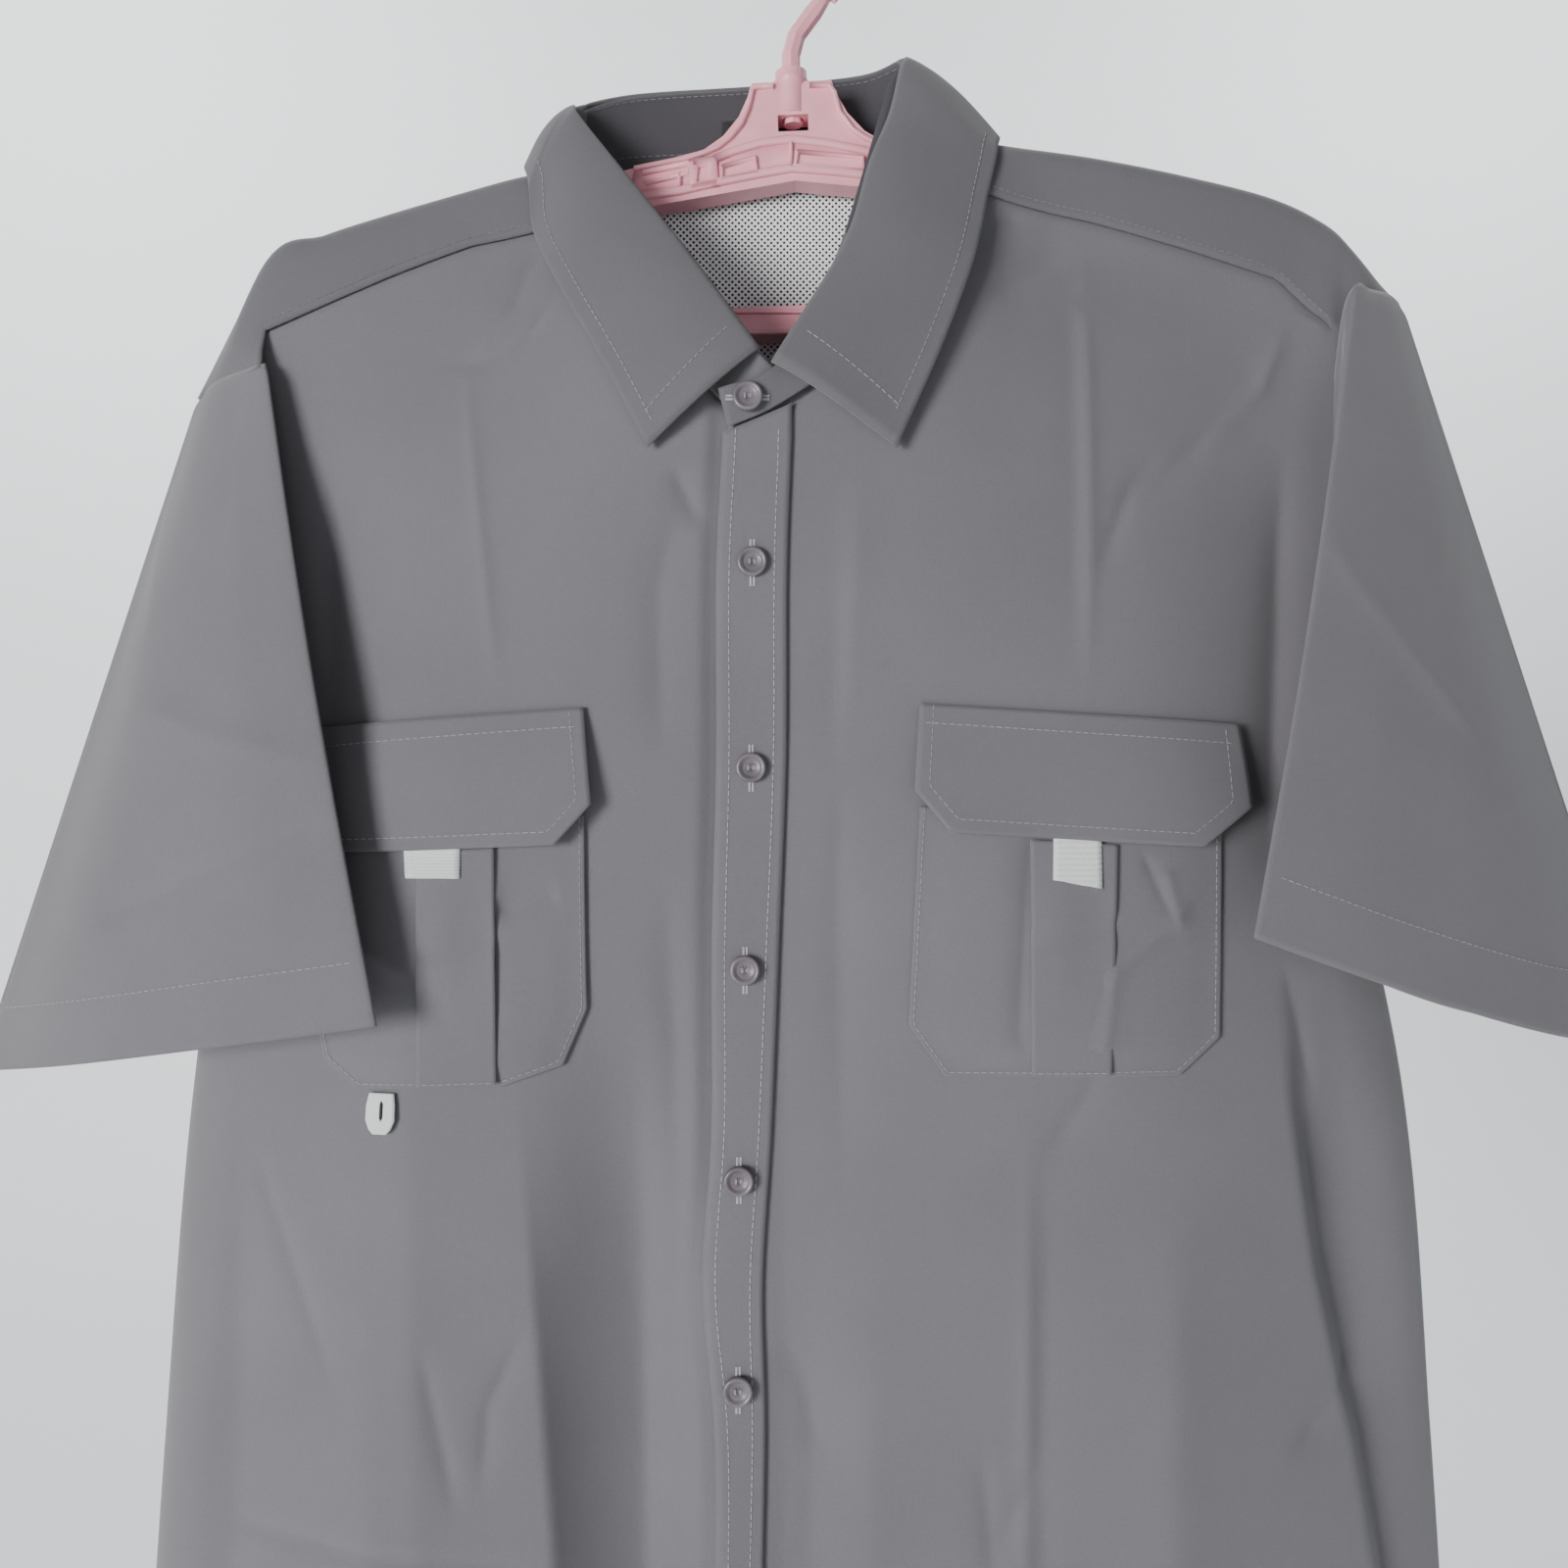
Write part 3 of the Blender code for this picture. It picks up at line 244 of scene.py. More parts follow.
# Largest folds of the fronts: path (x, height), then run and depth.
RIGHT_FOLD = ((-0.084, -0.842), (-0.0913, -0.673), (-0.103, -0.518), (-0.1107, -0.347))
RIGHT_FOLD_DEPTH = 0.018
RIGHT_FOLD_RUN = 0.036
RIGHT_FOLD_END = 0.034                             # the front comes forward again in this run
RIGHT_FOLD_START, RIGHT_FOLD_GROW = -0.42, 0.22    # height where it begins, and the way it grows in
LEFT_FOLD = ((0.262, -0.842), (0.2266, -0.642), (0.21, -0.57), (0.2005, -0.503), (0.198, -0.44))
LEFT_FOLD_DEPTH = 0.012
LEFT_FOLD_RUN = 0.012
LEFT_FOLD_WIDTH, LEFT_FOLD_END = 0.02, 0.05
LEFT_FOLD_START, LEFT_FOLD_GROW = -0.44, 0.1

# Pieces sewn on the front, level by level: x and height of the left end, then of the right.
POCKET_LEFT = ((0.0535, -0.387, 0.1745, -0.387), (0.049, -0.4725, 0.172, -0.478),
               (0.063, -0.4925, 0.155, -0.4925))
FLAP_LEFT = ((0.0535, -0.3465, 0.182, -0.3545), (0.051, -0.3805, 0.183, -0.388),
             (0.065, -0.397, 0.162, -0.403))
STRIP_LEFT = ((0.096, -0.4, 0.13, -0.402), (0.0965, -0.4915, 0.1275, -0.4915))
TAB_LEFT = ((0.105, -0.395, 0.1235, -0.3965), (0.1045, -0.4155, 0.1235, -0.419))
POCKET_RIGHT = ((-0.19, -0.39, -0.0785, -0.39), (-0.186, -0.47, -0.0775, -0.466),
                (-0.182, -0.487, -0.087, -0.488), (-0.168, -0.498, -0.11, -0.496))
FLAP_RIGHT = ((-0.195, -0.356, -0.079, -0.348), (-0.197, -0.39, -0.075, -0.386),
              (-0.182, -0.406, -0.089, -0.402))
STRIP_RIGHT = ((-0.143, -0.405, -0.113, -0.403), (-0.143, -0.4965, -0.112, -0.495))
TAB_RIGHT = ((-0.148, -0.401, -0.126, -0.401), (-0.147, -0.415, -0.126, -0.415))
LOOP = ((-0.1625, -0.4995, -0.1525, -0.4995), (-0.1636, -0.504, -0.152, -0.504),
        (-0.1637, -0.51, -0.1519, -0.51), (-0.1622, -0.5135, -0.1534, -0.5135),
        (-0.1604, -0.5153, -0.1552, -0.5153))
LOOP_SLIT = ((-0.1577, -0.502), (-0.1579, -0.5105))

# Creases of the fronts, as (x, height) paths, half width and height; a negative height is a trough.
CREASES = (
    (((-0.13, -0.205), (-0.113, -0.345)), 0.0026, 0.0013),
    (((0.125, -0.15), (0.1205, -0.345)), 0.0026, 0.0016),
    (((0.1185, -0.15), (0.115, -0.345)), 0.006, -0.001),
    (((0.096, -0.5), (0.095, -0.64), (0.093, -0.83)), 0.003, 0.0018),
    (((0.103, -0.5), (0.102, -0.64), (0.101, -0.83)), 0.007, -0.0014),
    (((-0.148, -0.207), (-0.122, -0.206), (-0.105, -0.196), (-0.09, -0.172)), 0.0026, -0.0016),
    (((-0.1, -0.15), (-0.115, -0.19)), 0.004, -0.0014),
    (((0.08, -0.15), (0.102, -0.139)), 0.003, -0.0016),
    (((0.082, -0.184), (0.121, -0.15)), 0.003, -0.0018),
    (((0.137, -0.268), (0.174, -0.236), (0.201, -0.214)), 0.004, -0.002),
    (((0.166, -0.246), (0.198, -0.214), (0.212, -0.184)), 0.003, 0.0024),
    (((0.125, -0.296), (0.14, -0.258), (0.156, -0.24)), 0.003, -0.0019),
    (((0.127, -0.49), (0.102, -0.524)), 0.003, -0.0016),
    (((0.077, -0.635), (0.084, -0.705)), 0.0036, -0.0017),
    (((0.082, -0.682), (0.101, -0.64)), 0.0034, -0.0017),
    (((0.2, -0.648), (0.24, -0.605)), 0.005, -0.0026),
    (((0.2, -0.446), (0.217, -0.508)), 0.0036, -0.0018),
    (((-0.143, -0.594), (-0.127, -0.668)), 0.0036, -0.0018),
    (((-0.1, -0.59), (-0.116, -0.622), (-0.118, -0.66)), 0.0034, -0.0018),
    (((-0.216, -0.52), (-0.175, -0.624)), 0.004, -0.0018),
    (((-0.24, -0.674), (-0.183, -0.679), (-0.085, -0.687)), 0.0036, -0.0024),
    (((-0.038, -0.255), (-0.05, -0.3), (-0.048, -0.375)), 0.008, -0.0024),
    (((-0.045, -0.25), (-0.032, -0.278)), 0.004, -0.0022),
    (((-0.048, -0.4), (-0.043, -0.48), (-0.042, -0.54), (-0.044, -0.64)), 0.01, -0.004),
    (((0.03, -0.245), (0.026, -0.33), (0.015, -0.43)), 0.008, 0.0018),
    (((0.022, -0.25), (0.021, -0.4), (0.024, -0.56)), 0.008, -0.0022),
    (((0.035, -0.56), (0.032, -0.83)), 0.016, 0.003),
    (((0.012, -0.56), (0.01, -0.83)), 0.01, -0.0024),
    (((0.0, -0.59), (0.017, -0.65)), 0.006, -0.0018),
    (((-0.043, -0.62), (-0.048, -0.83)), 0.01, 0.003),
    (((0.155, -0.52), (0.15, -0.83)), 0.02, 0.0044),
    (((-0.165, -0.56), (-0.16, -0.83)), 0.022, 0.004),
    (((-0.218, -0.5), (-0.225, -0.82)), 0.016, -0.004),
    (((-0.06, -0.45), (-0.056, -0.56), (-0.056, -0.82)), 0.012, -0.004),
    (((-0.15, -0.44), (-0.146, -0.6), (-0.14, -0.83)), 0.018, 0.003),
    (((-0.188, -0.23), (-0.186, -0.33), (-0.175, -0.45)), 0.014, -0.005),
    (((0.208, -0.23), (0.204, -0.32), (0.196, -0.43)), 0.01, -0.007),
)
BACK_CREASES = (
    (((-0.12, -0.225), (-0.115, -0.5), (-0.105, -0.83)), 0.0034, -0.0028),
    (((0.125, -0.225), (0.118, -0.5), (0.11, -0.83)), 0.0034, -0.0028),
    (((-0.035, -0.24), (-0.03, -0.52), (-0.04, -0.82)), 0.016, 0.0045),
    (((0.05, -0.26), (0.044, -0.56), (0.056, -0.82)), 0.018, 0.004),
    (((-0.19, -0.33), (-0.175, -0.56), (-0.18, -0.82)), 0.015, 0.0036),
    (((0.195, -0.3), (0.182, -0.56), (0.19, -0.82)), 0.015, 0.0042),
    (((-0.2, -0.25), (-0.15, -0.3), (-0.12, -0.38)), 0.0034, 0.0028),
    (((0.205, -0.24), (0.155, -0.28), (0.13, -0.35)), 0.0034, 0.0028),
    (((-0.1, -0.62), (0.02, -0.64)), 0.003, 0.0026),
    (((0.1, -0.7), (0.15, -0.64)), 0.003, -0.0026),
    (((-0.15, -0.56), (-0.09, -0.52)), 0.003, -0.0024),
)

# Creases of each sleeve: place round the tube from 0 to 11 and down it from 0 to 1, width, height
SLEEVE_CREASES = {
    "right": (((0.6, 0.45), (2.8, 0.62), 0.006, 0.0022), ((1.0, 0.8), (2.9, 0.7), 0.005, -0.0022),
              ((0.3, 0.12), (1.0, 0.4), 0.008, 0.0026), ((2.1, 0.1), (2.4, 0.98), 0.012, 0.002),
              ((9.0, 0.3), (8.4, 0.9), 0.008, -0.0024), ((7.6, 0.5), (9.6, 0.62), 0.006, 0.0022)),
    "left": (((2.9, 0.4), (1.2, 0.62), 0.005, 0.003), ((0.6, 0.25), (1.6, 0.5), 0.009, -0.0026),
             ((2.2, 0.6), (2.5, 0.98), 0.01, 0.0024), ((9.2, 0.2), (8.6, 0.85), 0.008, 0.0026),
             ((7.8, 0.6), (9.4, 0.5), 0.006, -0.0024)),
}

# Creases of the pockets: place across from 0 to 1 and down from 0 to 1, width, height
POCKET_CREASES = {
    "left": (((0.36, 0.0), (0.35, 0.95), 0.005, -0.002), ((0.8, 0.22), (0.86, 0.48), 0.0034, 0.0012),
             ((0.9, 0.36), (0.6, 0.66), 0.0034, 0.0014), ((0.72, 0.16), (0.84, 0.44), 0.003, -0.0012),
             ((0.64, 0.56), (0.62, 0.95), 0.004, 0.0014)),
    "right": (((0.58, 0.1), (0.7, 0.34), 0.0044, 0.0016), ((0.68, 0.36), (0.92, 0.28), 0.0044, -0.0014),
              ((0.64, 0.34), (0.66, 0.95), 0.0044, -0.0018), ((0.14, 0.46), (0.38, 0.6), 0.0044, 0.0013)),
}


# A button from its back to the floor of its dish: share of its radius, share of its thickness
BUTTON_PROFILE = (
    (0.86, -0.5), (0.98, -0.36), (1.0, 0.05), (0.97, 0.34), (0.9, 0.5), (0.8, 0.5),
    (0.7, 0.36), (0.6, 0.1), (0.52, 0.02), (0.0001, 0.0),
)
BUTTON_HOLE_OFFSET = 0.00105
BUTTON_HOLE_RADIUS = 0.00062
BUTTON_THREAD = 0.00022


def hermite(keys, values, at):
    """Smooth curve through (key, value) pairs; values may hold one column for each place asked."""
    keys = np.asarray(keys, float)
    values = np.asarray(values, float)
    at = np.atleast_1d(np.asarray(at, float))
    k = np.clip(np.searchsorted(keys, at) - 1, 0, len(keys) - 2)
    slopes = np.gradient(values, keys, axis=0)
    span = keys[k + 1] - keys[k]
    t = np.clip((at - keys[k]) / span, 0.0, 1.0)
    if values.ndim == 1:
        v0, v1, s0, s1 = values[k], values[k + 1], slopes[k], slopes[k + 1]
    else:
        place = np.arange(len(at))
        v0, v1 = values[k, place], values[k + 1, place]
        s0, s1 = slopes[k, place], slopes[k + 1, place]
    start = (1 + 2 * t) * (1 - t) ** 2 * v0 + t * (1 - t) ** 2 * span * s0
    return start + t * t * (3 - 2 * t) * v1 - t * t * (1 - t) * span * s1


def through(rows, at):
    """Points of a smooth curve through a table's rows, at 0 for the first and 1 for the last."""
    rows = np.asarray(rows, float)
    places = np.arange(len(rows), dtype=float)
    at = np.atleast_1d(at) * (len(rows) - 1)
    return np.stack([hermite(places, rows[:, k], at) for k in range(rows.shape[1])], axis=1)


def edge(z, column):
    """A column of the EDGE table at each height z."""
    rows = np.array(EDGE)
    return hermite(rows[:, 0], rows[:, column], z)


def ramp(t):
    """0 below 0, 1 above 1, smooth between."""
    t = np.clip(t, 0.0, 1.0)
    return t * t * (3 - 2 * t)


def table_depth(table, x, z):
    """Depth read from a table of heights and stations."""
    heights = [row[0] for row in table]
    across = np.array([hermite(STATIONS, row[1], np.abs(x)) for row in table])
    return hermite(heights, across, z)


def crease_profile(far):
    """Share of a crease's height at a way from its line in half widths: a soft-tipped peak."""
    return np.exp(CREASE_TIP - np.sqrt(far * far + CREASE_TIP ** 2))


def crease_offset(creases, x, z):
    """Height of the listed creases at x, z: each fades out towards its two ends."""
    total = np.zeros_like(x)
    for path, width, height in creases:
        best = np.full_like(x, 1.0)
        along = np.zeros_like(x)
        lengths = [math.dist(a, b) for a, b in zip(path, path[1:])]
        whole = sum(lengths)
        done = 0.0
        for (x0, z0), (x1, z1), length in zip(path, path[1:], lengths):
            t = np.clip(((x - x0) * (x1 - x0) + (z - z0) * (z1 - z0)) / length ** 2, 0.0, 1.0)
            distance = np.hypot(x - x0 - t * (x1 - x0), z - z0 - t * (z1 - z0))
            nearer = distance < best
            best = np.where(nearer, distance, best)
            along = np.where(nearer, (done + t * length) / whole, along)
            done += length
        fade = ramp(np.minimum(along, 1 - along) * 3.0 + 0.05)
        total += height * fade * crease_profile(best / width)
    return total


def fold_offset(x, z):
    """How far the large folds push the front back at x, z."""
    path = np.array(RIGHT_FOLD)
    past = x - np.interp(z, path[:, 1], path[:, 0])
    grow = ramp((RIGHT_FOLD_START - z) / RIGHT_FOLD_GROW)
    run = np.clip(past / RIGHT_FOLD_RUN, 0.0, 1.0)
    right = (1 - (1 - run) ** 2) * (1 - ramp((past - RIGHT_FOLD_RUN) / RIGHT_FOLD_END))
    right = right * grow + ramp(past / RIGHT_FOLD_RUN) * (1 - grow) * right
    path = np.array(LEFT_FOLD)
    beyond = x - np.interp(z, path[:, 1], path[:, 0])
    start = ramp((LEFT_FOLD_START - z) / LEFT_FOLD_GROW)
    left = ramp(beyond / LEFT_FOLD_RUN) * (1 - ramp((beyond - LEFT_FOLD_WIDTH) / LEFT_FOLD_END))
    return RIGHT_FOLD_DEPTH * grow * right + LEFT_FOLD_DEPTH * start * left


def side_x(z, column, back=False):
    """x of a side edge; above the underarm front and back run on inside the sleeve."""
    top, fade = TUCK_ENDS[0 if back else column]
    tuck = ARMHOLE_TUCK * ramp((z - UNDERARM) / 0.07) * (1 - ramp((z - top) / fade))
    return edge(z, column) + (tuck if column == LEFT else -tuck)


def body_y(x, z, back=False):
    """Depth of the middle surface of the fronts or of the back."""
    x, z = np.broadcast_arrays(np.atleast_1d(x).astype(float), np.atleast_1d(z).astype(float))
    outer = np.abs(np.where(x < 0, side_x(z, RIGHT, back), side_x(z, LEFT, back)))
    if back:
        edge_y = np.maximum(edge(z, BACK_EDGE), 0.0) + EDGE_GAP
        depth = table_depth(BACK_DEPTH, x, z) + crease_offset(BACK_CREASES, x, z)
    else:
        edge_y = np.minimum(edge(z, FRONT_EDGE), 0.0) - EDGE_GAP
        depth = table_depth(FRONT_DEPTH, x, z) + fold_offset(x, z) - crease_offset(CREASES, x, z)
    near = np.clip((np.abs(x) - (outer - SIDE_ROUND)) / SIDE_ROUND, 0.0, 1.0)
    return edge_y + (depth - edge_y) * np.sqrt(1 - near * near)


def on_front(x, z, out):
    """Points on the front, moved out from it along its normal."""
    step = 0.002
    dx = (body_y(x + step, z) - body_y(x - step, z)) / (2 * step)
    dz = (body_y(x, z + step) - body_y(x, z - step)) / (2 * step)
    normal = np.stack([dx, -np.ones_like(dx), dz], axis=1)
    normal /= np.linalg.norm(normal, axis=1)[:, None]
    x, z = np.broadcast_arrays(np.atleast_1d(x), np.atleast_1d(z))
    return np.stack([x, body_y(x, z), z], axis=1) + np.reshape(out, (-1, 1)) * normal


def hem_height(x):
    """Height of the hem at x."""
    return HEM + HEM_RISE * float(ramp((abs(x) - HEM_LEVEL) / HEM_CURVE))


def top_height(table, x):
    """Height of a front's seam with the yoke, or of its neckline, at x."""
    rows = np.array(table)
    return np.interp(x, rows[:, 0], rows[:, 1])


def front_top(x):
    """Height of a front's top edge at x: it runs up a little way under the yoke."""
    table = TOP_RIGHT if x < 0 else TOP_LEFT
    return float(top_height(table, x) + TUCK)


def under_yoke(x, z):
    """How far a front dips back where it lies under the yoke."""
    seam = np.where(x < 0, top_height(TOP_RIGHT, x), top_height(TOP_LEFT, x))
    return YOKE_DIP * ramp((z - seam + 0.0035) / 0.005)


def placket_x(z, u):
    """x across the placket, at 0 on its free edge and 1 on its inner edge."""
    rows = np.array(PLACKET)
    left = hermite(rows[:, 0], rows[:, 1], z)
    right = hermite(rows[:, 0], rows[:, 2], z)
    return left + (right - left) * u


# Nodes and meshes

def add_object(name, data):
    """An object of a mesh, light or camera, put into the scene."""
    made = bpy.data.objects.new(name, data)
    bpy.context.scene.collection.objects.link(made)
    return made


def mesh_object(name, verts, faces):
    """An object from points and faces, shaded smooth."""
    mesh = bpy.data.meshes.new(name)
    mesh.from_pydata([tuple(v) for v in verts], [], faces)
    mesh.update()
    mesh.shade_smooth()
    return add_object(name, mesh)


def grid_object(name, grids, closed=False):
    """One object through grids of points, joined where their points meet."""
    shape = bmesh.new()
    for grid in grids:
        rows = [[shape.verts.new(Vector(point)) for point in row] for row in grid]
        for above, below in zip(rows, rows[1:]):
            count = len(above) if closed else len(above) - 1
            for k in range(count):
                after = (k + 1) % len(above)
                shape.faces.new((above[k], below[k], below[after], above[after]))
    bmesh.ops.remove_doubles(shape, verts=shape.verts, dist=0.00003)
    bmesh.ops.recalc_face_normals(shape, faces=shape.faces)
    mesh = bpy.data.meshes.new(name)
    shape.to_mesh(mesh)
    shape.free()
    mesh.shade_smooth()
    return add_object(name, mesh)


def cloth(name, node, grids, finish, wall=WALL, closed=False):
    """A cloth piece that stands for its CAD node and rides on the one body."""
    made = grid_object(name, grids, closed)
    solid = made.modifiers.new("wall", "SOLIDIFY")
    solid.thickness = wall
    solid.offset = 0.0
    made.data.materials.append(finish)
    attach(made, "root")
    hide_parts(node)
    return made


def panel_grid(x_at, top, rows, back, out):
    """One column of a body panel, from its top edge to the hem."""
    z_top = top(float(x_at(np.array([-0.2]))[0]))
    for _ in range(14):
        z_top = top(float(x_at(np.array([z_top]))[0]))
    z = np.linspace(z_top, hem_height(float(x_at(np.array([HEM]))[0])), rows)
    x = x_at(z)
    return np.stack([x, body_y(x, z, back) + out(x, z), z], axis=1)


# Materials

def fill(tree, node, inputs):
    """Sets a node's inputs: a value is written to its socket and another node's output is linked."""
    for key, value in inputs.items():
        if isinstance(value, bpy.types.NodeSocket):
            tree.links.new(value, node.inputs[key])
        else:
            node.inputs[key].default_value = value


def node_of(tree, kind, inputs, **settings):
    """A shader node with the given settings and inputs."""
    made = tree.nodes.new(kind)
    for key, value in settings.items():
        setattr(made, key, value)
    fill(tree, made, inputs)
    return made


def place_of(tree):
    """The piece's own coordinates."""
    return node_of(tree, "ShaderNodeTexCoord", {}).outputs["Object"]


def noise(tree, place, scale, detail=2.0):
    """A field of soft spots."""
    inputs = {"Vector": place, "Scale": scale, "Detail": detail}
    return node_of(tree, "ShaderNodeTexNoise", inputs).outputs["Fac"]


def tint(tree, factor, low, high):
    """A colour between two ends, each a position and its colour."""
    made = node_of(tree, "ShaderNodeValToRGB", {"Fac": factor})
    for element, (position, colour) in zip(made.color_ramp.elements, (low, high)):
        element.position = position
        element.color = (*colour, 1.0)
    return made.outputs["Color"]


def relief(tree, height, strength, distance):
    """A normal pressed by a field of heights."""
    inputs = {"Height": height, "Strength": strength, "Distance": distance}
    return node_of(tree, "ShaderNodeBump", inputs).outputs["Normal"]


def start_material(name, inputs):
    """A material with its shader's inputs set, its tree and its shader."""
    made = bpy.data.materials.new(name)
    made.use_nodes = True
    shader = made.node_tree.nodes["Principled BSDF"]
    fill(made.node_tree, shader, inputs)
    return made, made.node_tree, shader


def weave_material(name, colour, light, weave=0.00055, roughness=0.82):
    """Matt plain-weave cloth: two crossed thread waves, slubs and a faint mottle."""
    made, tree, shader = start_material(name, {
        "Roughness": roughness, "Sheen Weight": 0.25, "Sheen Roughness": 0.5, "Specular IOR Level": 0.25})
    place = place_of(tree)
    fine = noise(tree, place, 900.0)
    mottle = {"Factor": 0.45, "A": noise(tree, place, 14.0, 5.0), "B": fine}
    mixed = node_of(tree, "ShaderNodeMix", mottle, data_type="FLOAT")
    waving = {"Vector": place, "Scale": WAVE_PERIOD / weave, "Distortion": 0.4}
    across, down = (node_of(tree, "ShaderNodeTexWave", waving, bands_direction=direction).outputs["Fac"]
                    for direction in ("X", "Z"))
    crossed = node_of(tree, "ShaderNodeMath", {0: across, 1: down}, operation="MULTIPLY")
    raised = node_of(tree, "ShaderNodeMath", {0: crossed.outputs[0], 1: fine}, operation="ADD")
    fill(tree, shader, {
        "Base Color": tint(tree, mixed.outputs["Result"], (0.3, colour), (0.7, light)),
        "Normal": relief(tree, raised.outputs[0], 0.25, 0.0002)})
    return made


def mesh_material(name, pitch):
    """White knitted mesh whose small round holes stand in a staggered grid; the holes are painted near-black,
    as painted shade of what lies behind them.
    """
    made = weave_material(name, (0.72, 0.72, 0.73), (0.86, 0.86, 0.87), 0.0005, 0.85)
    tree = made.node_tree
    shader = tree.nodes["Principled BSDF"]
    yarn = shader.inputs["Base Color"].links[0].from_socket
    turn = (math.radians(90.0), 0.0, math.radians(45.0))
    turned = node_of(tree, "ShaderNodeMapping", {"Vector": place_of(tree), "Rotation": turn})
    grid = {"Vector": turned.outputs["Vector"], "Scale": 1 / pitch, "Randomness": 0.06}
    cells = node_of(tree, "ShaderNodeTexVoronoi", grid, voronoi_dimensions="2D")
    # The near-black of the holes is painted shade.
    hole = tint(tree, cells.outputs["Distance"], (0.24, (0.0, 0.0, 0.0)), (0.33, (1.0, 1.0, 1.0)))
    layers = {"Factor": hole, "A": (0.012, 0.012, 0.013, 1.0), "B": yarn}
    mixed = node_of(tree, "ShaderNodeMix", layers, data_type="RGBA")
    fill(tree, shader, {"Base Color": mixed.outputs["Result"]})
    return made


def plastic_material(name, colour, dark, roughness, bump=0.06):
    """Moulded plastic with a faint flow mottle and fine surface grain."""
    made, tree, shader = start_material(name, {
        "Roughness": roughness, "Subsurface Weight": 0.08, "Subsurface Radius": (0.004, 0.002, 0.002)})
    place = place_of(tree)
    fill(tree, shader, {
        "Base Color": tint(tree, noise(tree, place, 60.0, 4.0), (0.25, dark), (0.65, colour)),
        "Normal": relief(tree, noise(tree, place, 1400.0), bump, 0.0003)})
    return made


CLOTH = weave_material("grey_cloth", (0.12, 0.115, 0.126), (0.141, 0.136, 0.148))
# A darker copy of the grey cloth for the collar and the yoke: painted shade, the real cloth is the same as
# the rest.
CLOTH_SHADED = weave_material("grey_cloth_painted_shade", (0.098, 0.095, 0.104), (0.116, 0.112, 0.122))
# A much darker copy of the grey cloth for the stand's inner back: painted deep shade.
CLOTH_DEEP_SHADE = weave_material("grey_cloth_painted_deep_shade", (0.046, 0.044, 0.05), (0.056, 0.054, 0.061))
THREAD_PALE = weave_material("pale_thread", (0.34, 0.34, 0.37), (0.46, 0.46, 0.5), 0.0003, 0.6)
THREAD_GREY = weave_material("grey_thread", (0.23, 0.225, 0.245), (0.33, 0.325, 0.35), 0.0003, 0.6)
THREAD_DARK = weave_material("dark_thread", (0.1, 0.1, 0.11), (0.22, 0.22, 0.24), 0.0003, 0.6)
WEBBING = weave_material("pale_webbing", (0.52, 0.57, 0.55), (0.62, 0.66, 0.64), 0.0008, 0.7)
# Black for the neck label, and also for the painted shade in the button holes and in the loop's slit.
LABEL_AND_SHADE_BLACK = weave_material("black_label_and_painted_shade", (0.01, 0.01, 0.012), (0.022, 0.022, 0.025), 0.0004, 0.7)
MESH = mesh_material("white_mesh", 0.002)
BUTTON = plastic_material("button_plastic", (0.15, 0.13, 0.15), (0.095, 0.08, 0.095), 0.3, 0.1)
HANGER = plastic_material("hanger_plastic", (0.8, 0.37, 0.43), (0.72, 0.31, 0.37), 0.36)


# Body

def dense(low, count):
    """low to 1 in steps that grow finer towards 1, where the cloth turns to its side seam."""
    return [0.6 * t + 0.4 * math.sin(t * math.pi / 2) for t in np.linspace(low, 1.0, count)]


def right_out(x, z):
    """The right front dips behind the left one under the placket, and under the yoke."""
    return 0.0021 * ramp((x - placket_x(z, 0.0) + 0.008) / 0.007) + under_yoke(x, z)


def front_columns(side, across, start, top, out):
    """Columns of a front from its start at a place across the placket to its side edge."""
    def column_x(z, u):
        inner = placket_x(z, across) + start
        return inner + (side_x(z, side) - inner) * u
    return [panel_grid(lambda z, u=u: column_x(z, u), top, FRONT_ROWS, False, out)
            for u in dense(0.0, FRONT_COLUMNS)]


def left_top(x):
    """Height of the left front's top edge at x."""
    return float(top_height(TOP_LEFT, x))


def front_panels():
    """Both fronts, with their creases."""
    columns = front_columns(RIGHT, 1.0, -0.004, front_top, right_out)
    right = cloth("shirt_front_right", "front_right", [columns], CLOTH)
    columns = front_columns(LEFT, 0.0, 0.002, lambda x: left_top(x) + TUCK, under_yoke)
    left = cloth("shirt_front_left", "front_left", [columns], CLOTH)


def placket_piece():
    """The placket: two layers thick, its free edge rolled over."""
    columns = []
    for u in np.linspace(0.0, 1.0, PLACKET_COLUMNS):
        lift = 0.0007 * (1 - ramp(u / 0.08)) - LAYER
        columns.append(panel_grid(lambda z, u=u: placket_x(z, u), left_top, FRONT_ROWS, False,
                                  lambda x, z, lift=lift: np.full_like(x, lift)))
    made = cloth("shirt_placket", "placket", [columns], CLOTH, wall=0.0013)


def back_out(x, z):
    """The back dips forward under the yoke's seam and inside the sleeves."""
    outer = np.abs(np.where(x < 0, edge(z, RIGHT), edge(z, LEFT)))
    inside = ramp((np.abs(x) - outer + 0.004) / 0.008) * ramp((z - UNDERARM) / 0.05)
    return -0.0016 * ramp((z - YOKE_SEAM_BACK + 0.003) / 0.004) - 0.003 * inside


def back_panel():
    """The back below the yoke seam."""
    def column_x(z, v):
        return side_x(z, LEFT, True) * v if v > 0 else -side_x(z, RIGHT, True) * v
    columns = [panel_grid(lambda z, v=v: column_x(z, v), lambda x: YOKE_SEAM_BACK + 0.004, BACK_ROWS,
                          True, back_out) for v in dense(-1.0, BACK_COLUMNS)]
    made = cloth("shirt_back", "back", [columns], CLOTH)


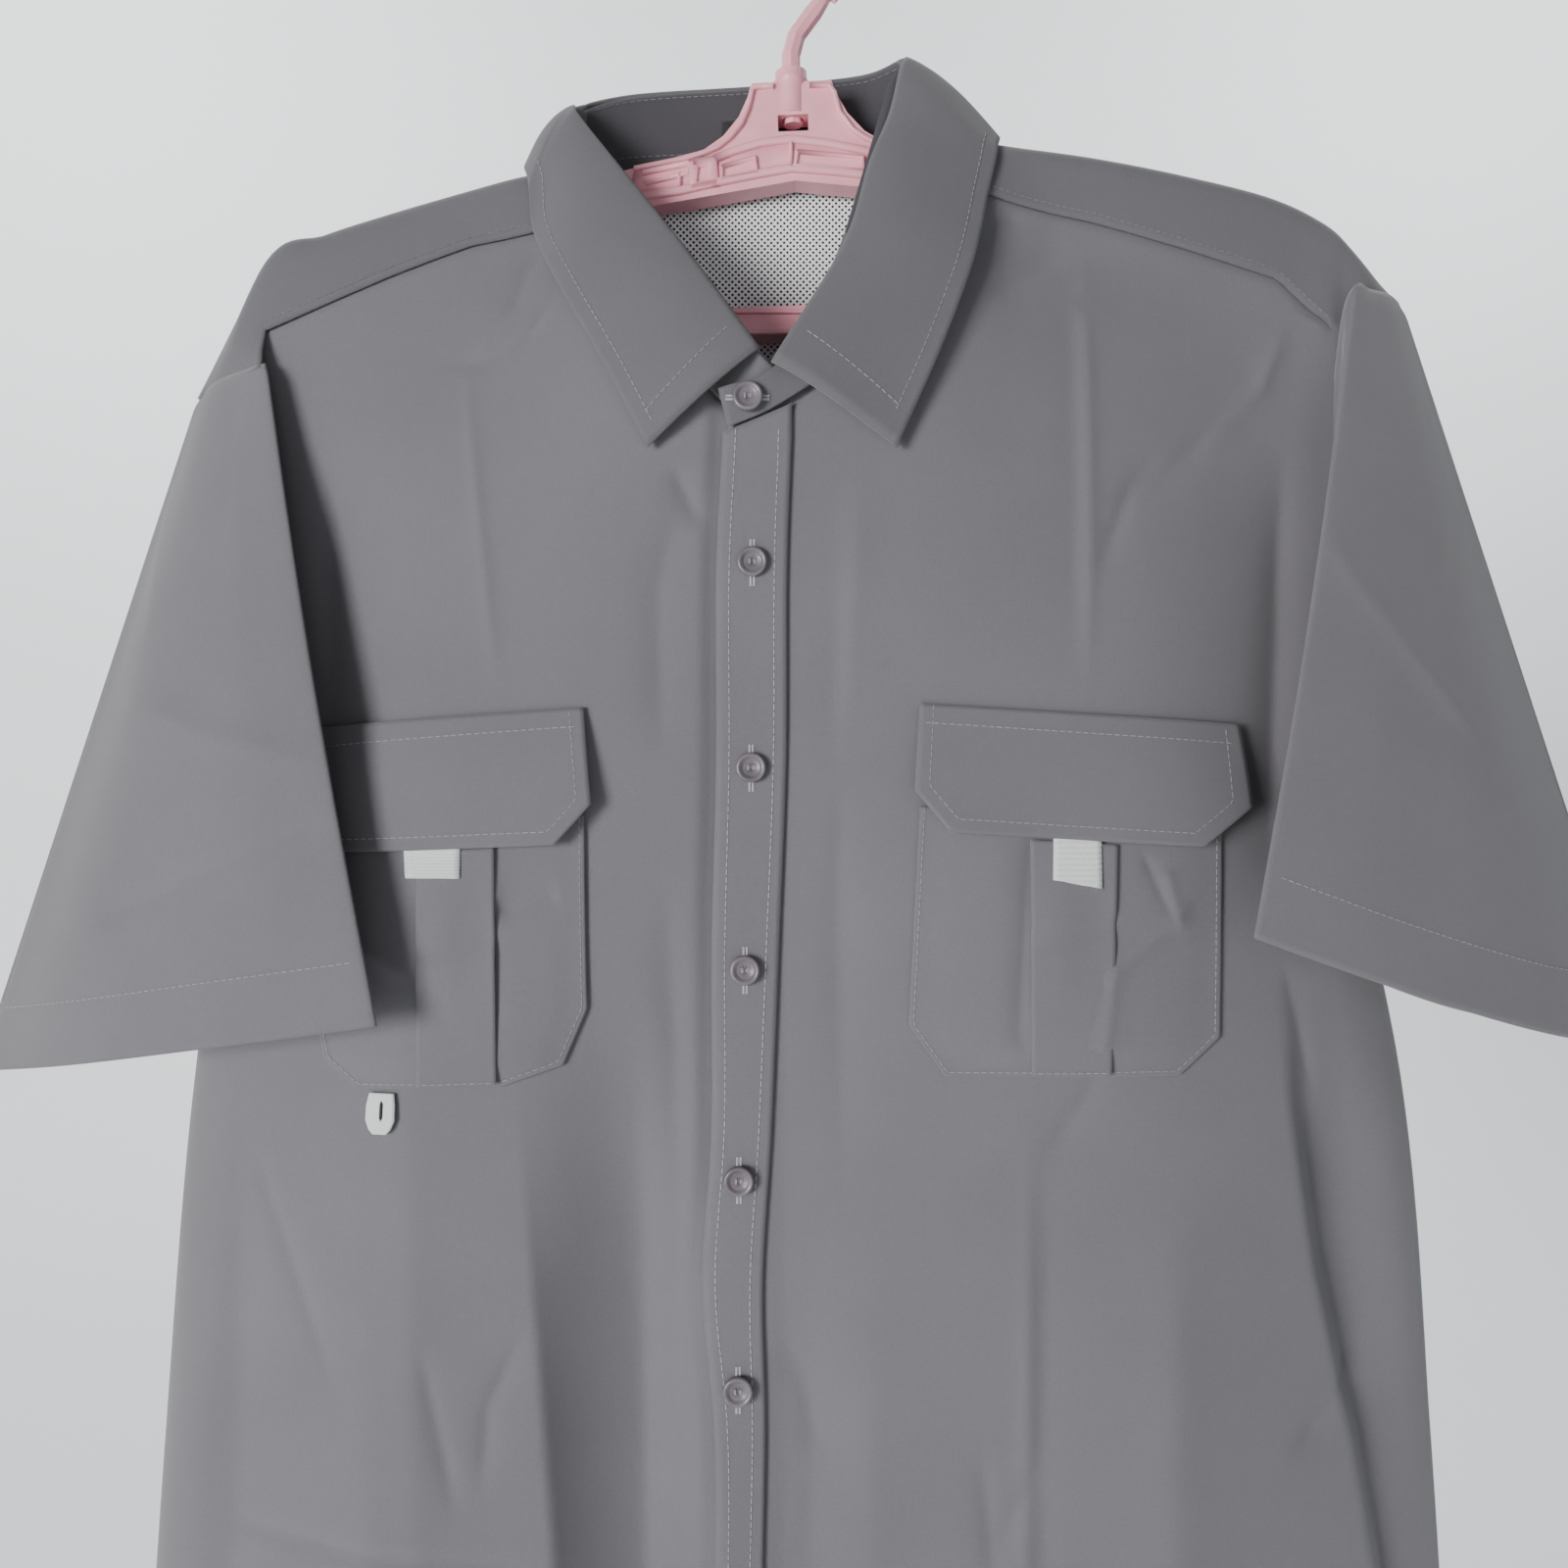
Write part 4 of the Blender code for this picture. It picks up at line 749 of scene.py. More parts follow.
def yoke_ribs(stations):
    """Cross-sections of the yoke over a shoulder, each from front seam over ridge to back."""
    ribs = []
    for s in np.linspace(0.0, 1.0, YOKE_RIBS):
        front, ridge, low = (through([row[k] for row in stations], s)[0] for k in range(3))
        over = 1 - ramp((abs(front[0]) - 0.222) / 0.006) if s < 0.93 else 0.0
        seam = float(top_height(TOP_RIGHT if front[0] < 0 else TOP_LEFT, front[0]))
        on_seam = np.array((front[0], float(body_y(front[0], seam)[0]) - 0.001, seam - 0.0008))
        front = front + (on_seam - front) * over
        knee_front = ridge + (0.0, -RIDGE_ROUND, -RIDGE_DROP) + (front - ridge) * (0.25, 0.0, 0.06)
        knee_back = ridge + (0.0, RIDGE_ROUND, -RIDGE_DROP) + (low - ridge) * (0.1, 0.0, 0.03)
        rough = [front, (front + knee_front) / 2 + (0, -0.0008, 0), knee_front, ridge,
                 knee_back, knee_back + (low - knee_back) * 0.35, low]
        before = through(rough[:4], np.linspace(0.0, 1.0, YOKE_FRONT_LINES))
        after = through(rough[3:], np.linspace(0.0, 1.0, YOKE_BACK_LINES))
        ribs.append(np.vstack([before[:-1], after]))
    return ribs


def yoke_piece():
    """The yoke over both shoulders and across the back, and its mesh lining."""
    right, left = yoke_ribs(YOKE_RIGHT), yoke_ribs(YOKE_LEFT)
    first, last = right[0][YOKE_FRONT_LINES - 1:], left[0][YOKE_FRONT_LINES - 1:]
    middle, lining = [first], []
    steps = np.linspace(0.0, 1.0, YOKE_BACK_LINES)[:, None]
    for k in range(1, YOKE_MIDDLE):
        t = k / YOKE_MIDDLE
        head = through(STAND_BOTTOM[NECK_BACK], t)[0] + (0.004 * (2 * t - 1), 0.003, 0.001)
        foot = np.array((first[-1][0] + (last[-1][0] - first[-1][0]) * t, YOKE_BACK, YOKE_SEAM_BACK))
        column = head + (foot - head) * (ramp(steps) * 0.15 + steps * 0.85)
        pull = 0
        for rib, away in ((first, t), (last, 1 - t)):
            by_rib = np.interp(-column[:, 2], -rib[:, 2], rib[:, 1])
            pull = pull + (by_rib - column[:, 1]) * ramp(1 - away / YOKE_BLEND) * 0.8
        column[:, 1] += pull
        column[2:, 1] = np.maximum(column[2:, 1], HANGER_CLEAR)
        middle.append(column)
        lining.append(head + (foot - head) * np.linspace(0.05, 0.985, LINING_LINES)[:, None]
                      - (0.0, LINING_GAP, 0.0))
    middle.append(last)
    # The yoke takes the darker copy of the cloth, which is painted shade.
    made = cloth("shirt_yoke", "yoke", [right, middle, left], CLOTH_SHADED)
    mesh = cloth("shirt_yoke_lining", "yoke_lining", [lining], MESH, 0.0006)


def stand_points(t, v):
    """Points of the collar stand, t round the neck and v up from its bottom edge."""
    low, high = through(STAND_BOTTOM, t), through(FOLD_LINE, t)
    return low + (high - low) * np.reshape(v, (-1, 1))


def leaf_points(t, v):
    """Points of the collar leaf, t round the neck and v down from its fold."""
    t = np.atleast_1d(t).astype(float)
    v = np.broadcast_to(np.atleast_1d(v), t.shape)
    top, low = through(LEAF_TOPS, t), through(LEAF_EDGES, t)
    run = low - top
    along = through(LEAF_TOPS, np.minimum(t + 0.01, 1)) - through(LEAF_TOPS, np.maximum(t - 0.01, 0))
    out = np.cross(run, along)
    out /= np.linalg.norm(out, axis=1)[:, None]
    wanted = np.where(low[:, 1] > 0.005, 1.0, -1.0)
    out *= np.where(out[:, 1] * wanted < 0, -1.0, 1.0)[:, None]
    bulge = LEAF_BULGE * np.sin(np.pi * np.clip(v, 0, 1) ** 0.8)
    return top + run * v[:, None] + bulge[:, None] * out


def collar_pieces():
    """The stand and the leaf that turns down over it, its fold rolled over the stand's top."""
    ring, fall = [], []
    for t in np.linspace(0.0, 1.0, COLLAR_COLUMNS):
        below = STAND_TUCK * ramp((t - 0.24) / 0.06) * ramp((0.76 - t) / 0.06)
        ring.append(stand_points(np.full(STAND_ROWS, t), np.linspace(-below, 1.0, STAND_ROWS)))
        fall.append(leaf_points(np.full(LEAF_ROWS, t), np.linspace(0.0, 1.0, LEAF_ROWS)))
    # Stand and leaf take the darker copy of the cloth, which is painted shade.
    stand = cloth("shirt_collar_stand", "collar_stand", [ring], CLOTH_SHADED, wall=COLLAR_WALL)
    # Faces of the stand's inner back get the much darker cloth: painted deep shade.
    stand.data.materials.append(CLOTH_DEEP_SHADE)
    low, high, front = PAINTED_SHADE_STAND
    for face in stand.data.polygons:
        if face.center.y > front and low < face.center.x < high:
            face.material_index = 1
    leaf = cloth("shirt_collar_leaf", "collar_leaf", [fall], CLOTH_SHADED, wall=COLLAR_WALL)


def sleeve_points(rows, k, v, count):
    """Points of a sleeve, k of count round the tube and v down from the armhole."""
    armhole = [row[0] for row in rows] + [rows[0][0]]
    hem_ring = [row[1] for row in rows] + [rows[0][1]]
    at = np.atleast_1d(k) / count
    start, end = through(armhole, at), through(hem_ring, at)
    v = np.broadcast_to(np.atleast_1d(v).astype(float), at.shape)
    points = start + (end - start) * v[:, None]
    lift = 0.007 * np.sin(np.pi * v) * ramp(-end[:, 1] / 0.05)
    return points - np.stack([0 * lift, lift, 0 * lift], axis=1)


def sleeves():
    """Both sleeves: flattened tubes, open at both ends, with soft dents down them."""
    for side, rows, node in (("right", SLEEVE_RIGHT, "sleeve_right"), ("left", SLEEVE_LEFT, "sleeve_left")):
        rings = []
        for v in np.concatenate([SLEEVE_STARTS, np.linspace(0.0, 1.0, SLEEVE_ROWS)]):
            k = np.arange(SLEEVE_COLUMNS)
            ring = sleeve_points(rows, k, v, SLEEVE_COLUMNS)
            ring += (ring.mean(axis=0) - ring) * 0.035 * (1 - ramp((v - SLEEVE_STARTS[0]) / 0.03))
            middle = ring.mean(axis=0)
            away = ring - middle
            away /= np.linalg.norm(away, axis=1)[:, None]
            turn = k / SLEEVE_COLUMNS * len(rows)
            for (k0, v0), (k1, v1), width, height in SLEEVE_CREASES[side]:
                t = np.clip(((turn - k0) * (k1 - k0) * SLEEVE_STEP ** 2
                             + (v - v0) * (v1 - v0) * SLEEVE_LENGTH ** 2)
                            / ((k1 - k0) ** 2 * SLEEVE_STEP ** 2 + (v1 - v0) ** 2 * SLEEVE_LENGTH ** 2), 0, 1)
                far = np.hypot((turn - k0 - t * (k1 - k0)) * SLEEVE_STEP,
                               (v - v0 - t * (v1 - v0)) * SLEEVE_LENGTH)
                fade = ramp(np.minimum(t, 1 - t) * 4 + 0.2)
                ring += away * (height * fade * crease_profile(far / width))[:, None] * SLEEVE_PUSH
            rings.append(ring)
        made = cloth(f"shirt_sleeve_{side}", node, [rings], CLOTH, closed=True)


def patch_grid(levels, lift_top, lift_low, columns, rows_per_mm, shape=None):
    """Points of a flat piece sewn on the front, from its levels."""
    top = max(levels[0][1], levels[0][3])
    height = top - min(levels[-1][1], levels[-1][3])
    grid = []
    for k, (upper, lower) in enumerate(zip(levels, levels[1:])):
        steps = max(2, math.ceil((upper[1] - lower[1]) * 1000 * rows_per_mm))
        for step in range(0 if k == 0 else 1, steps + 1):
            t = step / steps
            x0, z0, x1, z1 = np.array(upper) * (1 - t) + np.array(lower) * t
            u = np.linspace(0.0, 1.0, columns)
            x, z = x0 + (x1 - x0) * u, z0 + (z1 - z0) * u
            down = (top - z) / height
            lift = lift_top + (lift_low - lift_top) * down
            if shape is not None:
                lift = lift + shape(u, down)
            grid.append(on_front(x, z, lift))
    return grid


def pocket_bulge(side):
    """How a pocket's cloth stands off the shirt, with its creases."""
    def bulge(u, down):
        lift = 0.0022 * np.sin(np.pi * u)
        for (u0, v0), (u1, v1), width, height in POCKET_CREASES[side]:
            run = np.array((u1 - u0, v1 - v0)) * POCKET_SIZE
            x, z = (u - u0) * POCKET_SIZE[0], (down - v0) * POCKET_SIZE[1]
            t = np.clip((x * run[0] + z * run[1]) / (run @ run), 0, 1)
            far = np.hypot(x - t * run[0], z - t * run[1])
            fade = ramp(np.minimum(t, 1 - t) * 4 + 0.15)
            lift = lift + height * fade * crease_profile(far / width)
        return lift * ramp(np.minimum(u, 1 - u) * 8) * ramp((1 - down) * 8)
    return bulge


def strip_bulge(u, down):
    """The pleat stands off the pocket in its upper half and dips where it is creased."""
    return (0.0014 * np.sin(np.pi * np.minimum(down * 1.4, 1.0)) * (0.6 + 0.4 * np.cos(2 * np.pi * (u - 0.3)))
            - 0.0012 * np.exp(-((down - 0.46 + 0.1 * u) / 0.05) ** 2))


def flap_bulge(u, down):
    """A flap's lower corners lift more than its middle."""
    return 0.001 * np.sin(np.pi * down) + 0.0012 * np.cos(2 * np.pi * u + 0.6) * down


def pocket_pieces():
    """Chest pockets with pleat strips, flaps and pull tabs, and the small loop."""
    for side, pocket, flap, strip, tab in (
        ("left", POCKET_LEFT, FLAP_LEFT, STRIP_LEFT, TAB_LEFT),
        ("right", POCKET_RIGHT, FLAP_RIGHT, STRIP_RIGHT, TAB_RIGHT),
    ):
        body = cloth(f"shirt_pocket_{side}", f"pocket_{side}",
                     [patch_grid(pocket, PATCH_LIFT, PATCH_LIFT, 110, 1.0, pocket_bulge(side))], CLOTH)
        lift = PATCH_LIFT + LAYER
        pleat = cloth(f"shirt_pocket_strip_{side}", f"pocket_strip_{side}",
                      [patch_grid(strip, lift + 0.0022, lift + 0.0006, 22, 0.8, strip_bulge)], CLOTH)
        pull = cloth(f"shirt_pull_tab_{side}", f"pull_tab_{side}",
                     [patch_grid(tab, PATCH_LIFT + 2.6 * LAYER, PATCH_LIFT + 3.0 * LAYER, 9, 2.4,
                                 lambda u, d: 0.00022 * np.cos(d * 22 * np.pi))],
                     WEBBING, 0.0011)
        cover = cloth(f"shirt_flap_{side}", f"flap_{side}",
                      [patch_grid(flap, PATCH_LIFT, PATCH_LIFT + 4.4 * LAYER, 60, 0.6, flap_bulge)],
                      CLOTH, wall=0.0014)
    loop = cloth("shirt_utility_loop", "utility_loop",
                 [patch_grid(LOOP, PATCH_LIFT, PATCH_LIFT + 0.001, 9, 1.6)], WEBBING, 0.0011)


def label_piece():
    """The bare label inside the back of the stand."""
    grid = []
    for x in np.linspace(*LABEL_ENDS, 20):
        t = np.interp(x, (-0.064, -0.01, 0.042), (7, 8, 9)) / (len(STAND_BOTTOM) - 1)
        points = stand_points(np.full(8, t), np.linspace(0.1, 0.6, 8))
        points[:, 0] = x
        points[:, 1] -= LAYER
        grid.append(points)
    made = cloth("shirt_neck_label", "neck_label", [grid], LABEL_AND_SHADE_BLACK, 0.0005)


front_panels()
placket_piece()
back_panel()
yoke_piece()
collar_pieces()
sleeves()
pocket_pieces()
label_piece()


# Sewing

SEEN = {}


def tree_of(name):
    """Ray-casting tree of a cloth piece's middle surface."""
    if name not in SEEN:
        mesh = bpy.data.objects[name].data
        SEEN[name] = BVHTree.FromPolygons([v.co for v in mesh.vertices],
                                          [p.vertices for p in mesh.polygons])
    return SEEN[name]


def cast(names, x, z, start_y, toward, lift):
    """Point on the nearest named piece straight ahead of x, z, lifted off it towards the start."""
    best = None
    for name in names:
        hit, normal, _, far = tree_of(name).ray_cast(Vector((x, start_y, z)), Vector((0, toward, 0)), 0.5)
        if hit is not None and (best is None or far < best[2]):
            if normal.y * toward > 0:
                normal = -normal
            best = (hit, normal, far)
    return None if best is None else np.array(best[0] + best[1] * lift)


def resample(path, pitch):
    """Points at even steps along a path of points."""
    path = np.asarray(path, float)
    far = np.concatenate([[0.0], np.cumsum(np.linalg.norm(np.diff(path, axis=0), axis=1))])
    at = np.arange(0.0, far[-1], pitch)
    return np.stack([np.interp(at, far, path[:, k]) for k in range(path.shape[1])], axis=1)


def circle(middle, side, up, radius, count):
    """Points round a circle."""
    turns = [2 * math.pi * k / count for k in range(count)]
    return [middle + (side * math.cos(turn) + up * math.sin(turn)) * radius for turn in turns]


def tube_faces(faces, base, rings, count):
    """Faces of a closed tube through rings of points, and of its two ends."""
    for row in range(rings - 1):
        for k in range(count):
            a, b = base + row * count + k, base + row * count + (k + 1) % count
            faces.append((a, b, b + count, a + count))
    faces.append(tuple(base + k for k in range(count)))
    faces.append(tuple(base + (rings - 1) * count + k for k in reversed(range(count))))


def stitch_shape(start, end, radius, verts, faces):
    """One stitch: a short thread that dips into the cloth at both ends."""
    axis = end - start
    length = np.linalg.norm(axis)
    if length < 1e-6:
        return
    axis = axis / length
    side = np.cross(axis, (0.3, 0.5, 0.8))
    side /= np.linalg.norm(side)
    up = np.cross(axis, side)
    base = len(verts)
    for at, width in THREAD_PROFILE:
        verts.extend(circle(start + axis * length * at, side, up, radius * width, THREAD_SIDES))
    tube_faces(faces, base, len(THREAD_PROFILE), THREAD_SIDES)


def sew(name, rows, names, finish=THREAD_GREY, start_y=BEFORE, lift=STITCH_LIFT):
    """Stitches along paths of x, z on the named cloth pieces, found from the front or the back."""
    verts, faces = [], []
    steps = 4
    share = round(steps * STITCH / STITCH_PITCH)
    toward = 1 if start_y < 0 else -1
    for path in rows:
        points = resample(path, STITCH_PITCH / steps)
        for k in range(0, len(points) - share, steps):
            start = cast(names, *points[k], start_y, toward, lift)
            end = cast(names, *points[k + share], start_y, toward, lift)
            if start is not None and end is not None and np.linalg.norm(end - start) < 2 * STITCH_PITCH:
                stitch_shape(start, end, THREAD, verts, faces)
    extra(mesh_object(name, verts, faces), finish)


def extra(made, finish):
    """Finishes a piece that stands for no CAD node and rides with the rest."""
    made.data.materials.append(finish)
    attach(made, "root")


def inset(path, amount):
    """A path of x, z moved to its right-hand side by an amount."""
    path = np.asarray(path, float)
    moved = []
    for k, point in enumerate(path):
        normals = []
        for a, b in ((k - 1, k), (k, k + 1)):
            if a >= 0 and b < len(path):
                run = path[b] - path[a]
                run = run / np.linalg.norm(run)
                normals.append(np.array((run[1], -run[0])))
        mean = sum(normals) / len(normals)
        moved.append(point + mean * amount / max(float(mean @ normals[0]), 0.3))
    return np.array(moved)


def level_side(levels, right):
    """The left or right ends of a table of levels, as x, z points from the top down."""
    return [(row[2], row[3]) if right else (row[0], row[1]) for row in levels]


def outline_of(levels):
    """Three sides of a patch, down its left side, along its bottom and up its right."""
    return level_side(levels, False) + list(reversed(level_side(levels, True)))


def seen(points):
    """x and z of points in space."""
    return np.array(points)[:, (0, 2)]


def stitching():
    """Every seam that shows on the shirt."""
    heights = np.linspace(-0.238, HEM + 0.001, 60)
    free = [(float(placket_x(z, 0.0)[0]) + 0.005, z) for z in heights]
    inner = [(float(placket_x(z, 1.0)[0]) - 0.005, z) for z in heights]
    sew("placket_stitches", [free, inner], ["shirt_placket"], THREAD_PALE, lift=STITCH_LIFT_THICK)
    for side, pocket, flap in (("left", POCKET_LEFT, FLAP_LEFT), ("right", POCKET_RIGHT, FLAP_RIGHT)):
        around = inset(outline_of(pocket), -0.0018)
        sew(f"pocket_stitches_{side}", [around], [f"shirt_pocket_{side}", f"shirt_pocket_strip_{side}"])
        edge_row = inset(outline_of(flap), -0.0055)
        left_end, right_end = np.array(flap[0][:2]), np.array(flap[0][2:])
        across = [left_end + (0.002, -0.0075), right_end + (-0.002, -0.0075)]
        sew(f"flap_stitches_{side}", [edge_row, across], [f"shirt_flap_{side}"], lift=STITCH_LIFT_THICK)
    ends = (("right", TOP_RIGHT, -0.2165, -0.098), ("left", TOP_LEFT, 0.08, 0.229))
    for side, table, low, high in ends:
        x = np.linspace(low, high, 60)
        row = np.stack([x, top_height(table, x) + 0.003], axis=1)
        sew(f"yoke_stitches_{side}", [row], ["shirt_yoke"], THREAD_DARK)
    leaf_edge = [leaf_points([t], [1.0])[0] for t in np.linspace(0.0, 1.0, 120)]
    rows = [inset(seen(leaf_edge[first:last]), COLLAR_INSET) for first, last in ((2, 43), (82, 118))]
    for t in (0.022, 1.0 - 0.022):
        rows.append(seen(leaf_points(np.full(20, t), np.linspace(0.1, 0.93, 20))))
    sew("collar_stitches", rows, ["shirt_collar_leaf"], lift=STITCH_LIFT_THICK)
    back_row = seen(leaf_edge[52:78]) + (0.0, COLLAR_INSET)
    sew("collar_back_stitches", [back_row], ["shirt_collar_leaf"], start_y=BEHIND, lift=STITCH_LIFT_THICK)
    inside = [seen(stand_points(np.linspace(0.4, 0.68, 60), np.full(60, v))) for v in (0.16, 0.94)]
    sew("stand_stitches", inside, ["shirt_collar_stand"], THREAD_DARK, INSIDE_NECK, STITCH_LIFT_THICK)
    facings = (("front", 0.1, 2.9, BEFORE), ("back", 7.2, 10.9, BEHIND))
    for side, rows in (("right", SLEEVE_RIGHT), ("left", SLEEVE_LEFT)):
        for facing, first, last, start_y in facings:
            at = np.linspace(first, last, 80)
            ring = sleeve_points(rows, at, np.full(80, 1 - SLEEVE_HEM / SLEEVE_LENGTH), len(rows))
            sew(f"sleeve_hem_stitches_{side}_{facing}", [seen(ring)], [f"shirt_sleeve_{side}"],
                start_y=start_y)
    hem_x = np.linspace(-0.262, 0.275, 200)
    row = np.array([(x, hem_height(x) + 0.02) for x in hem_x])
    sew("hem_stitches_front", [row], ["shirt_front_right", "shirt_front_left"])
    sew("hem_stitches_back", [row], ["shirt_back"], start_y=BEHIND)
    x = np.linspace(-0.215, 0.225, 160)
    row = np.stack([x, np.full(160, YOKE_SEAM_BACK + 0.0032)], axis=1)
    sew("yoke_stitches_back", [row], ["shirt_yoke"], start_y=BEHIND)


def slit():
    """The loop's slit: a thin black bar laid on the loop, painted shade in the opening."""
    verts, faces = [], []
    start, end = [cast(["shirt_utility_loop"], *point, BEFORE, 1, 0.0002) for point in LOOP_SLIT]
    stitch_shape(start, end, 0.0009, verts, faces)
    extra(mesh_object("loop_slit", verts, faces), LABEL_AND_SHADE_BLACK)


stitching()
slit()

BUTTONS = ("1", "2", "3", "4", "5", "6", "collar")
for name in ["hanger_frame", "hanger_hook"] + [f"button_{end}" for end in BUTTONS]:
    materials = bpy.data.objects[name].data.materials
    materials.clear()
    materials.append(HANGER if name.startswith("hanger") else BUTTON)


# Raised rims on the hanger's front as paths of x and height, with their half widths
HANGER_RIMS = (
    (((-0.067, -0.1173), (-0.0447, -0.1128), (-0.0372, -0.1104), (-0.0315, -0.1081),
      (-0.0265, -0.104), (-0.0217, -0.0982), (-0.0188, -0.0914), (-0.017, -0.0835),
      (-0.015, -0.0826), (-0.0082, -0.0822)), 0.0011),
    (((0.0072, -0.0818), (0.0155, -0.0818), (0.0178, -0.085), (0.0198, -0.093),
      (0.0256, -0.1006), (0.0308, -0.1041), (0.0384, -0.1077), (0.056, -0.114)), 0.0011),
    (((-0.0331, -0.1134), (-0.0256, -0.11), (-0.014, -0.1065), (-0.0006, -0.1047),
      (0.0151, -0.1065), (0.0325, -0.11), (0.052, -0.1165)), 0.0017),
    (((-0.07, -0.1296), (-0.0489, -0.1268), (-0.0315, -0.1229), (-0.014, -0.1194),
      (-0.0006, -0.117), (0.0151, -0.1181), (0.033, -0.12), (0.052, -0.125)), 0.0018),
    (((-0.0634, -0.119), (-0.0437, -0.115)), 0.0012),
    (((-0.042, -0.1148), (-0.0335, -0.1142), (-0.033, -0.1232), (-0.042, -0.125),
      (-0.042, -0.1148)), 0.0026),
    (((-0.062, -0.1235), (-0.044, -0.1193)), 0.0009),
    (((-0.0478, -0.119), (-0.0478, -0.125)), 0.0008),
    (((-0.03, -0.1165), (-0.0158, -0.1125), (-0.015, -0.1188), (-0.03, -0.1218),
      (-0.03, -0.1165)), 0.001),
    (((-0.0006, -0.106), (-0.0006, -0.1165)), 0.0009),
    (((0.002, -0.11), (0.03, -0.1125), (0.03, -0.1175), (0.0012, -0.116),
      (0.002, -0.11)), 0.001),
    (((-0.086, -0.1778), (0.086, -0.1778)), 0.001),
    (((-0.086, -0.1866), (0.086, -0.1866)), 0.001),
)
RIM_BACK, RIM_FRONT = -0.0055, -0.008      # y of the rims' feet and tops
RIM_ROUND = 0.0006       # how much lower a rim is at the edges of its top
RIM_SHIFT = 0.0035       # from the rims' table to the hanger's own middle
WEB_FRONT = -0.0063      # y of the web between the rims
# The hook's barrel: height, radius
BARREL = ((-0.0775, 0.0073), (-0.0805, 0.0073), (-0.081, 0.0066), (-0.0925, 0.0066), (-0.0925, 0.004))
BARREL_X = 0.003
BARREL_DEPTH = 1.22      # its depth as a share of its width
# Upper and lower edge of the web
WEB = (((-0.067, -0.118), (-0.037, -0.111), (-0.0006, -0.105), (0.038, -0.1085), (0.06, -0.116)),
       ((-0.07, -0.129), (-0.0489, -0.1262), (-0.0006, -0.1168), (0.033, -0.1195), (0.056, -0.125)))


def rim(path, half, verts, faces):
    """A raised bead along a path on the hanger's front."""
    path = np.array(path)
    profile = ((-1.0, RIM_BACK), (-0.95, RIM_FRONT + RIM_ROUND), (-0.55, RIM_FRONT), (0.55, RIM_FRONT),
               (0.95, RIM_FRONT + RIM_ROUND), (1.0, RIM_BACK))
    base = len(verts)
    for k, point in enumerate(path):
        before = point - path[k - 1] if k else path[1] - point
        after = path[k + 1] - point if k + 1 < len(path) else before
        run = before / np.linalg.norm(before) + after / np.linalg.norm(after)
        run /= max(np.linalg.norm(run), 1e-6)
        across = np.array((run[1], -run[0]))
        for share, y in profile:
            place = point + across * half * share
            verts.append((place[0] + RIM_SHIFT, y, place[1]))
    count = len(profile)
    for k in range(len(path) - 1):
        for j in range(count - 1):
            a = base + k * count + j
            faces.append((a, a + 1, a + 1 + count, a + count))
    faces.append(tuple(base + j for j in range(count)))
    faces.append(tuple(base + (len(path) - 1) * count + j for j in reversed(range(count))))


def hanger_relief():
    """The moulded rims, the web between them and the hook's barrel."""
    verts, faces = [], []
    for path, half in HANGER_RIMS:
        rim(path, half, verts, faces)
    extra(mesh_object("hanger_rims", verts, faces), HANGER)
    rows = [resample([(x + RIM_SHIFT, WEB_FRONT, z) for x, z in row], 0.004) for row in WEB]
    count = min(len(row) for row in rows)
    web = grid_object("hanger_web", [[row[:count] for row in rows]])
    web.modifiers.new("wall", "SOLIDIFY").thickness = 0.0008
    extra(web, HANGER)
    across, deep = np.array((1.0, 0.0, 0.0)), np.array((0.0, BARREL_DEPTH, 0.0))
    rings = [circle(np.array((BARREL_X, 0.0, z)), across, deep, radius, BUTTON_SIDES) for z, radius in BARREL]
    extra(grid_object("hanger_barrel", [rings], True), HANGER)


hanger_relief()


def button_face(name, node):
    """A dished four-hole button with its thread, standing for a plain CAD one."""
    solid = bpy.data.objects[node]
    corners = np.array([solid.matrix_world @ v.co for v in solid.data.vertices])
    middle = (corners.min(axis=0) + corners.max(axis=0)) / 2
    spread = corners - middle
    _, _, axes = np.linalg.svd(spread, full_matrices=False)
    out = axes[2] if axes[2][1] < 0 else -axes[2]
    side = np.cross((0.0, 0.0, 1.0), out)
    side /= np.linalg.norm(side)
    up = np.cross(out, side)
    if up[2] < 0:
        up, side = -up, -side
    thick = np.ptp(spread @ out)
    radius = np.ptp(spread @ side) / 2
    verts, faces = [], []
    for share, height in BUTTON_PROFILE:
        verts.extend(circle(middle + out * thick * height, side, up, radius * share, BUTTON_SIDES))
    tube_faces(faces, 0, len(BUTTON_PROFILE), BUTTON_SIDES)
    made = mesh_object(name, verts, faces)
    made.data.materials.append(BUTTON)
    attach(made, "root")
    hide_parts(node)
    holes, hole_faces, thread, thread_faces = [], [], [], []
    # The four holes are near-black discs laid on the dish: painted shade in the holes.
    floor = middle + out * thick * (BUTTON_PROFILE[-1][1] + 0.01)
    for across in (-1, 1):
        for above in (-1, 1):
            centre = floor + (side * across + up * above) * BUTTON_HOLE_OFFSET
            hole_faces.append(tuple(range(len(holes), len(holes) + HOLE_SIDES)))
            holes.extend(circle(centre, side, up, BUTTON_HOLE_RADIUS, HOLE_SIDES))
        for shift in (-BUTTON_THREAD, BUTTON_THREAD):
            middle_line = floor + side * (across * BUTTON_HOLE_OFFSET + shift) + out * BUTTON_THREAD
            reach = up * BUTTON_HOLE_OFFSET * 1.15
            stitch_shape(middle_line - reach, middle_line + reach, BUTTON_THREAD, thread, thread_faces)
    extra(mesh_object(name + "_holes", holes, hole_faces), LABEL_AND_SHADE_BLACK)
    extra(mesh_object(name + "_thread", thread, thread_faces), THREAD_GREY)
    return middle, up, side


